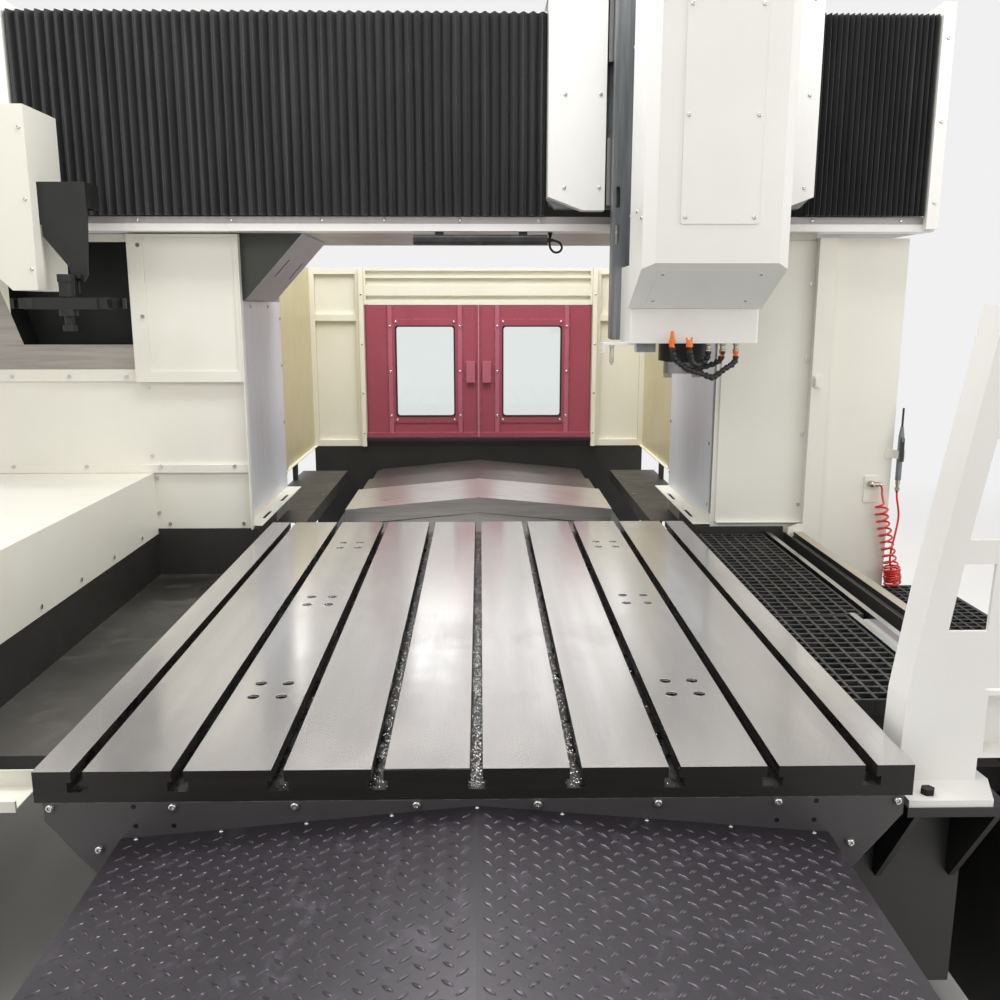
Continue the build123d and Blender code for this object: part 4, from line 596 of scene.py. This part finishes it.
dress("left_front_wall", cream,
      (steel_strip, within(x=(-1.83, -1.2741), y=(0.325, 0.345), z=(1.494, 1.584))),
      (steel_strip, within(x=(-1.83, -1.70), y=(0.325, 0.40), z=(1.5, 1.75))))
dress("changer_lining", lining_black)
dress("right_wall", cream)
# the rear wall's faces that face sideways get the painted shade copy of its cream
dress("rear_wall", rear_cream, (side_shade_cream, lambda c, n: np.abs(n[:, 0]) > 0.5))
dress("rear_sill", sill_black)
dress("chip_pans", pan_black, (pan_floor, both(faces_up, within(z=(0.69, 0.74)))))
dress("floor_gratings", grate_plastic)
dress("edge_rails", steel_rail, (strip_grey, within(x=(1.060, 1.1119), z=(0.845, 0.85))))
dress("side_sill", sill_black, (beige, both(faces_up, within(x=(1.2225, 1.2551), z=(0.86, 0.87)))))
dress("front_frame", white, (cream, within(x=(-1.9, -0.8))))
dress("cover_screws", zinc, (black_oxide, within(x=(0.84, 0.96), y=(-1.8, -1.6))))
dress("saddle", casting)
dress("saddle_carriages", turned)
dress("saddle_covers", white)
dress("headstock", ram_grey)
dress("head_cover", white, (head_grey, lambda c, n: (n[:, 2] < -0.5) & (c[:, 2] < 1.86)))
dress("lower_head_cover", white)
dress("spindle_cartridge", black_oxide)
dress("spindle_rotor", turned)
dress("head_motors", black_plastic)
dress("head_screw", steel_rail)
dress("head_fittings", nickel, (white, within(x=(0.40, 0.525), z=(1.565, 1.61))),
      (grey_plastic, within(x=(0.526, 0.6), z=(1.565, 1.61))))
dress("coolant_hoses", black_plastic, (orange, within(y=(-0.25, -0.19), z=(1.5918, 1.66))),
      (orange, within(x=(0.80, 0.88), y=(-0.125, -0.09), z=(1.5595, 1.5765))))
dress("changer_bracket", changer_grey)
dress("changer_arm", changer_grey)
dress("magazine_shroud", cream)
dress("magazine_wheel", steel_plate)
dress("magazine_stand", charcoal)
for side in ("left", "right"):
    # the stiffeners' front faces get the painted highlight copy of the door paint
    dress(side + "_rear_door", crimson, (lit_crimson_rib, within(y=(2.80, 2.8922), z=(1.0, 1.7))))
    dress(side + "_door_window", clear)
dress("work_lamp", black_plastic)
dress("hose_bracket", cream, (nickel, within(x=(1.505, 1.545), y=(0.30, 0.3385))))
dress("air_gun", gun_grey, (nickel, within(z=(1.03, 1.0675))), (black_plastic, within(z=(1.2725, 1.40))))
dress("gun_trigger", black_plastic)


# pleated way covers of the beam: heights of their edges, and the planes of crests, valleys and hems
PLEAT_LOW, PLEAT_HIGH = 2.036, 2.699
PLEAT_CREST, PLEAT_VALLEY, PLEAT_HEM = 0.207, 0.236, 0.2385
PLEAT_END = 1.597


def pleated(name, node, x0, x1, count):
    """Curtain of folds: y(u) runs between the crests and the valleys along arcs joined by straight flanks,
    and each fold leans and swells a little by its own random amount."""
    steps = 10
    z = np.linspace(PLEAT_LOW, PLEAT_HIGH, 7)[:, None]
    pitch = (x1 - x0) / count
    lean = rng.normal(0, 0.05, count + 1)
    lean[[0, count]] = 0
    depth = 1 - np.abs(rng.normal(0, 0.10, count + 1))
    u = np.arange(count * steps + 1) / steps
    wave = np.abs(2 * (u % 1.0) - 1)
    arc = 0.5 - 0.5 * np.cos(math.pi * wave)
    wave = np.where((wave < 0.2) | (wave > 0.8), arc, 0.095 + (wave - 0.2) * 0.81 / 0.6)
    bend = np.sin((z - PLEAT_LOW) / (PLEAT_HIGH - PLEAT_LOW) * math.pi)
    x = np.clip(x0 + u * pitch + lean[np.round(u).astype(int)] * pitch * bend, x0, x1)
    y = PLEAT_CREST + (PLEAT_VALLEY - PLEAT_CREST) * (1 - (1 - wave) * depth[u.astype(int)])
    rows = np.stack(np.broadcast_arrays(x, y, z), -1)
    lower, upper = rows[0].copy(), rows[-1].copy()
    lower[:, 1] = upper[:, 1] = PLEAT_HEM
    s = Solid()
    for part in (rows, [lower, rows[0]], [rows[-1], upper], [upper, lower]):
        s.sheet(part)
    obj = s.object(name, [cloth], "saddle", 60, ride=False)
    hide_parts(node)
    return obj


left_cover = pleated("left_way_cover", "left_bellows", -PLEAT_END, 0.244, 56)
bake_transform(left_cover)
right_cover = pleated("right_way_cover", "right_bellows", 1.164, PLEAT_END, 22)
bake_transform(right_cover)


# roof of the first front cover: height at the ridge, fall to the eaves and half width
ROOF_TOP, ROOF_FALL, ROOF_HALF = 0.827, 0.059, 0.65


def roof(x):
    return ROOF_TOP - ROOF_FALL * np.abs(x) / ROOF_HALF


def lozenges():
    """Chequer plate: lens shaped bumps, 25 mm by 8 mm and 1.7 mm high, turned 45 degrees one way and the
    other, half a pitch apart, on both slopes of the roof."""
    s = Solid()
    pitch = 0.0405
    side_end, front_end = 0.632, -2.455
    a = np.linspace(0, 2 * math.pi, 12, endpoint=False)
    outline = np.stack([0.0125 * np.cos(a), 0.0042 * np.sin(a) * np.abs(np.sin(a)) ** 0.35], 1)
    i = np.arange(12)
    after = (i + 1) % 12
    walls, top = np.stack([i, after, 12 + after, 12 + i], 1), 12 + i[None, :]
    lift = np.repeat([0.0, 0.0017], 12)
    for slope in (-1, 1):
        faces = [walls, top] if slope > 0 else [walls[:, ::-1], top[:, ::-1]]
        for kind in (0, 1):
            turn = math.radians(45 if kind else -45)
            rot = np.array([[math.cos(turn), -math.sin(turn)], [math.sin(turn), math.cos(turn)]])
            shape = np.concatenate([outline, outline * 0.62]) @ rot.T
            across = (np.arange(16) + 0.45 + 0.5 * kind) * pitch
            along = -1.850 - (np.arange(16) + 0.4 + 0.5 * kind) * pitch
            for middle_x in across[across <= side_end]:
                for middle_y in along[along >= front_end]:
                    x, y = middle_x + shape[:, 0], middle_y + shape[:, 1]
                    s.add(np.stack([slope * x, y, roof(x) + lift], 1), faces)
    s.object("chequer_lozenges", [chequer_worn], "table", 30)


lozenges()


# small parts on the table: its top, its two ends and the pitch of its slots
TABLE_TOP, TABLE_FRONT, TABLE_BACK = 0.9, -1.8341, 0.3661
SLOT_PITCH = 0.18


def end_plate_screws():
    """Cap screws of the table's end plates, and plugs in the spare holes of the front one."""
    s = Solid()
    in_row = (np.arange(8) - 3.5) * 0.2206
    for x in in_row:
        s.screw((x, TABLE_FRONT, 0.831), FRONT, 0.0086, 0.0072, 24)
    for x in (-0.690, 0.690):
        s.screw((x, TABLE_FRONT, 0.748), FRONT, 0.0086, 0.0072, 24)
    for x in in_row:
        s.screw((x, TABLE_BACK, 0.831), BACK, 0.0086, 0.0072, 20)
    plug = [(0.0046, 0), (0.0046, 0.0005), (0.0036, 0.0007), (0.0032, 0.0002), (0.0005, 0.0002)]
    for x, z in ((0.623, 0.831), (0.621, 0.793), (0.552, 0.793)):
        for side in (-1, 1):
            s.turned(plug, (side * x, TABLE_FRONT, z), FRONT, 16, 1)
    s.object("end_plate_screws", [zinc, black_oxide], "table")


def hole_rims():
    """Broken edges of the lifting holes: narrow open rings."""
    s = Solid()
    rim = [(0.0150, -0.0004), (0.0148, 0.00025), (0.0138, 0.0003), (0.0126, -0.0012), (0.0123, -0.006)]
    for group_x in (-0.45, 0.45):
        for group_y in (-1.434, -0.734, -0.034):
            for dx in (-0.03, 0.03):
                for dy in (-0.04, 0.04):
                    spot = (group_x + dx, group_y + dy, TABLE_TOP)
                    s.turned(rim, spot, UP, 28, caps=False)
    s.object("lifting_hole_rims", [steel_rail], "table")


def slot_chips():
    """Fine chips and drops of coolant in the middle slots: squashed eight sided grains, nearly three in
    four on a slot's floor and the others on its walls."""
    s = Solid()
    floor_z, floor_half, wall_half = 0.8601, 0.0165, 0.0109
    d = 0.7
    base = np.array([(1, 0), (d, d), (0, 1), (-d, d), (-1, 0), (-d, -d), (0, -1), (d, -d), (0, 0)])
    i = np.arange(8)
    faces = [np.stack([i, (i + 1) % 8, np.full(8, 8)], 1)]
    tip = np.where(np.arange(9) == 8, 0.7, 0.0)[:, None]
    for slot, amount in ((2, 120), (3, 1700), (4, 3400), (5, 1800), (6, 200)):
        middle = (slot - 4) * SLOT_PITCH
        for _ in range(amount):
            y = -1.825 + 2.15 * rng.random()
            on_floor = rng.random() < 0.72
            x = middle + rng.normal(0, 0.0085)
            size = 0.0006 + 0.0013 * rng.random() ** 2
            if on_floor:
                x, z, up = min(max(x, middle - floor_half), middle + floor_half), floor_z, UP
            else:
                wall = 1 if rng.random() < 0.5 else -1
                x, z, up = middle + wall * wall_half, 0.8785 + 0.02 * rng.random(), (-wall, 0, 0)
            w = Vector(up)
            u = w.orthogonal().normalized()
            u.rotate(Matrix.Rotation(rng.random() * 6.28, 3, w))
            v = w.cross(u)
            grow = size * (0.6 + rng.random())
            u, v, w = (np.array(q) for q in (u, v, w))
            grain = base[:, :1] * size * u + base[:, 1:] * grow * v + tip * size * w
            s.add(np.array([x, y, z]) + grain, faces)
    s.object("slot_chips", [zinc], "table", 80)


end_plate_screws()
hole_rims()
slot_chips()


# button heads of the sheet metal
def heads(name, spots, body, radius, height=0.004):
    s = Solid()
    for spot, normal in spots:
        s.screw(spot, normal, radius, height)
    s.object(name, [zinc], body)


BEAM_STRIP_Y, END_POST_Y, REAR_POST_Y = 0.2438, 0.2048, 2.876
DOOR_RIB_Y, DOOR_FACE_Y = 2.8921, 2.8991
HEAD_FACE_Y, HEAD_SIDE_X, SADDLE_FACE_Y, SHROUD_FACE_Y = -0.4821, 0.4868, 0.1279, -0.0601
# sloping underside of the head cover: front edge, and the way from it to the rear edge
SLOPE_Y, SLOPE_Z, SLOPE_DY, SLOPE_DZ = -0.477, 1.843, 0.297, -0.130
SLOPE_NORMAL = tuple(Vector((0, SLOPE_DZ, -SLOPE_DY)).normalized())


def on_slope(share, x, lift=0.0):
    y, z = SLOPE_Y + share * SLOPE_DY, SLOPE_Z + share * SLOPE_DZ
    return x + SLOPE_NORMAL[0] * lift, y + SLOPE_NORMAL[1] * lift, z + SLOPE_NORMAL[2] * lift


spots = [((x, BEAM_STRIP_Y, 2.0205), FRONT)
         for x in (-1.52, -1.20, -0.87, -0.55, -0.33, -0.06, 0.22, 0.55, 0.88, 1.2, 1.52)]
spots += [((x, END_POST_Y, z), FRONT) for x in (-1.6185, 1.6185) for z in (2.08, 2.35, 2.62)]
heads("beam_strip_screws", spots, "frame", 0.0062)
spots = [((x, REAR_POST_Y, z), FRONT) for x in (-0.718, 0.718) for z in (0.95, 1.2, 1.5, 1.8)]
heads("rear_post_screws", spots, "frame", 0.006)
for side, body in ((-1, "left_door"), (1, "right_door")):
    spots = [((side * x, DOOR_RIB_Y, z), FRONT) for x in (0.116, 0.547) for z in (1.056, 1.331, 1.607)]
    spots += [((side * x, DOOR_FACE_Y, z), FRONT) for x in (0.152, 0.511) for z in (1.030, 1.634)]
    heads(body + "_window_screws", spots, body, 0.0085, 0.005)
spots = [((x, HEAD_FACE_Y, z), FRONT) for x in (0.604, 0.804) for z in (1.972, 2.25, 2.54)]
spots += [(on_slope(share, x), SLOPE_NORMAL) for share in (0.22, 0.80) for x in (0.556, 0.852)]
spots += [((HEAD_SIDE_X, y, z), LEFT) for y, z in ((-0.42, 1.975), (-0.33, 2.0))]
heads("head_cover_screws", spots, "head", 0.0065)
spots = [((x, SADDLE_FACE_Y, z), FRONT) for x in (0.30, 0.42, 1.0, 1.13) for z in (2.12, 2.42, 2.72)]
heads("saddle_cover_screws", spots, "saddle", 0.0065)
spots = [((x, SHROUD_FACE_Y, z), FRONT)
         for x, z in ((-1.46, 1.84), (-1.46, 2.06), (-1.46, 2.28), (-1.80, 1.9), (-1.80, 2.28))]
heads("shroud_screws", spots, "frame", 0.0065)
spots = [((k * 0.155, -1.8415, roof(k * 0.155) - 0.0002), UP) for k in range(-4, 5)]
heads("front_cover_screws", spots, "table", 0.0045, 0.0025)


def underside_plate():
    """Flat plate let into the sloping underside of the head cover, 1.2 mm proud, its edge chamfered."""
    s = Solid()
    rings = []
    for inset, lift in ((0.0, 0.0), (0.0, 0.0008), (0.0006, 0.0012)):
        front, rear = 0.13 + 3 * inset, 0.89 - 3 * inset
        left, right = 0.538 + inset, 0.870 - inset
        corners = ((front, left), (front, right), (rear, right), (rear, left))
        rings.append([on_slope(share, x, lift) for share, x in corners])
    s.rings(rings)
    s.object("head_underside_plate", [head_grey], "head", 30)


underside_plate()


def gratings():
    """Walkway gratings with their true mesh of about 41 mm, in place of the solids' coarser one: bars of
    wedge section, 8 mm wide near the top and 6 mm below, both ways inside the border, on their bearers."""
    s = Solid()
    half = np.array([0.003, 0.004, 0.0034, -0.0034, -0.004, -0.003])

    def bar(axis, start, end, middle, z0, z1):
        rings = np.empty((2, 6, 3))
        rings[..., axis] = ((start,), (end,))
        rings[..., 1 - axis] = middle + (half if axis == 0 else -half)
        rings[..., 2] = (z0, z1 - 0.001, z1, z1, z1 - 0.001, z0)
        s.rings(rings)

    mesh, edge, lap = 0.041, 0.004, 0.0004
    near_x, inner_x, outer_x, floor_z = 0.812, 1.050, 1.100, 0.862
    for x0, x1, y0, y1, z0, z1 in ((near_x, inner_x, -1.420, -0.780, 0.824, floor_z),
                                   (near_x, outer_x, -0.770, 0.300, 0.824, floor_z),
                                   (1.261, 1.820, -1.700, 0.340, 0.604, 0.640)):
        for x in np.linspace(x0 + edge, x1 - edge, round((x1 - x0) / mesh) + 1):
            bar(1, y0, y1, x, z0, z1)
        for y in np.linspace(y0 + edge, y1 - edge, round((y1 - y0) / mesh) + 1):
            bar(0, x0, x1, y, z0, z1 - lap)
    for y, x1 in ((-0.760, outer_x), (-0.240, outer_x), (0.280, outer_x),
                  (-1.400, inner_x), (-1.000, inner_x)):
        s.block((near_x, y, 0.700), (x1, y + 0.012, 0.8241), 0.001)
    grate = s.object("fine_gratings", [grate_plastic], "frame", 30)
    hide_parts("floor_gratings")


gratings()


def seals():
    """Rubber seals round the door panes: rounded rectangles swept through a lip section."""
    middle_x, middle_z, half_x, half_z, corner = 0.3315, 1.3315, 0.1815, 0.2775, 0.016
    lip = ((-0.004, 2.8989), (-0.004, 2.8972), (-0.001, 2.8962), (0.003, 2.8966), (0.005, 2.8985),
           (0.005, 2.917))
    for side, body in ((-1, "left_door"), (1, "right_door")):
        s = Solid()
        rings = []
        for inset, y in lip:
            outline = rounded_outline(half_x - inset, half_z - inset, corner, 5)
            x, z = side * (middle_x + outline[:, 0]), middle_z + outline[:, 1]
            rings.append(np.stack([x, np.full(len(x), y), z], 1))
        s.rings(rings, caps=False)
        s.object(body + "_pane_seal", [rubber], body, 60)


seals()


# floor, backdrop light and lamps
BACKDROP = (0.88, 0.88, 0.88, 1)
floor = bpy.data.meshes.new("floor")
floor.from_pydata([(-30, -30, 0), (30, -30, 0), (30, 30, 0), (-30, 30, 0)], [], [(0, 1, 2, 3)])
ground = bpy.data.objects.new("floor", floor)
scene.collection.objects.link(ground)
pale = Shade("pale_floor")
cloud = pale.span(pale.noise(0.6, detail=5), 0.3, 0.7)
pale.set(Base_Color=pale.mix(cloud, rgb("#f4f3f1"), rgb("#efeeec")), Roughness=0.6)
# far from the machine the floor fades into the background, for the rays that see it
reach = pale.add("VectorMath", operation="LENGTH")
pale.links.new(pale.coord, reach.inputs[0])
rays = pale.add("LightPath")
looking = pale.math("MAXIMUM", rays.outputs["Is Camera Ray"], rays.outputs["Is Glossy Ray"])
fade = pale.math("MULTIPLY", pale.span(reach.outputs["Value"], 3.6, 8.0), looking)
glow = pale.add("Emission", Color=BACKDROP)
join = pale.add("MixShader", Fac=fade)
pale.links.new(pale.bsdf.outputs[0], join.inputs[1])
pale.links.new(glow.outputs[0], join.inputs[2])
pale.links.new(join.outputs[0], pale.nodes["Material Output"].inputs[0])
floor.materials.append(pale.mat)

# the world: camera, glossy and transmitted rays see the backdrop, and all others its light
world = bpy.data.worlds.new("studio")
scene.world = world
world.use_nodes = True
nodes, links = world.node_tree.nodes, world.node_tree.links
nodes.clear()
out = nodes.new("ShaderNodeOutputWorld")
seen, lit = nodes.new("ShaderNodeBackground"), nodes.new("ShaderNodeBackground")
seen.inputs[0].default_value = BACKDROP
seen.inputs[1].default_value = 1.0
lit.inputs[0].default_value = (1.0, 0.99, 0.975, 1)
lit.inputs[1].default_value = 0.62
path = nodes.new("ShaderNodeLightPath")
direct, looks = nodes.new("ShaderNodeMath"), nodes.new("ShaderNodeMath")
direct.operation = "ADD"
direct.use_clamp = True
links.new(path.outputs["Is Camera Ray"], direct.inputs[0])
links.new(path.outputs["Is Transmission Ray"], direct.inputs[1])
looks.operation = "MAXIMUM"
links.new(direct.outputs[0], looks.inputs[0])
links.new(path.outputs["Is Glossy Ray"], looks.inputs[1])
chosen = nodes.new("ShaderNodeMixShader")
links.new(looks.outputs[0], chosen.inputs[0])
links.new(lit.outputs[0], chosen.inputs[1])
links.new(seen.outputs[0], chosen.inputs[2])
links.new(chosen.outputs[0], out.inputs[0])


WARM, COOL, DAYLIGHT = (1.0, 0.985, 0.96), (0.98, 0.99, 1.0), (0.97, 0.985, 1.0)


def lamp(name, place, target, size, energy, tint=WARM):
    data = bpy.data.lights.new(name, "AREA")
    data.shape = "RECTANGLE"
    data.size, data.size_y = size
    data.energy = energy
    data.color = tint
    obj = bpy.data.objects.new(name, data)
    obj.location = place
    obj.rotation_euler = (Vector(target) - Vector(place)).to_track_quat("-Z", "Y").to_euler()
    obj.visible_camera = False
    scene.collection.objects.link(obj)


lamp("key", (-2.4, -5.4, 4.6), (0.1, 0.3, 1.0), (3.0, 2.2), 72)
lamp("front_fill", (3.6, -4.8, 3.4), (0.2, 0.2, 1.1), (2.4, 2.0), 28)
lamp("roof", (0.0, 2.0, 4.6), (0.0, 2.2, 0.8), (2.4, 1.6), 90)
lamp("rear", (0.0, 1.55, 3.5), (0.0, 2.9, 1.3), (3.0, 0.8), 33)
lamp("right_fill", (4.6, -2.2, 2.6), (-1.0, -0.4, 1.1), (2.0, 2.0), 44)
lamp("inside", (0.0, -1.0, 5.2), (0.0, -0.6, 0.9), (4.0, 2.4), 50)
# soft lights behind the machine, which the ground table mirrors as long streaks
lamp("behind_middle", (0.4, 6.4, 3.7), (0.1, -1.2, 0.9), (2.2, 1.9), 17, DAYLIGHT)
lamp("behind_left", (-1.9, 6.4, 3.7), (-0.6, -1.2, 0.9), (0.16, 2.0), 9, DAYLIGHT)
lamp("behind_far_left", (-2.75, 6.4, 3.7), (-0.9, -1.2, 0.9), (0.16, 2.0), 9, DAYLIGHT)
# soft light over the front of the table, above the view
lamp("over_table", (0.0, -0.35, 3.3), (0.0, -1.6, 0.9), (3.0, 0.5), 44, COOL)
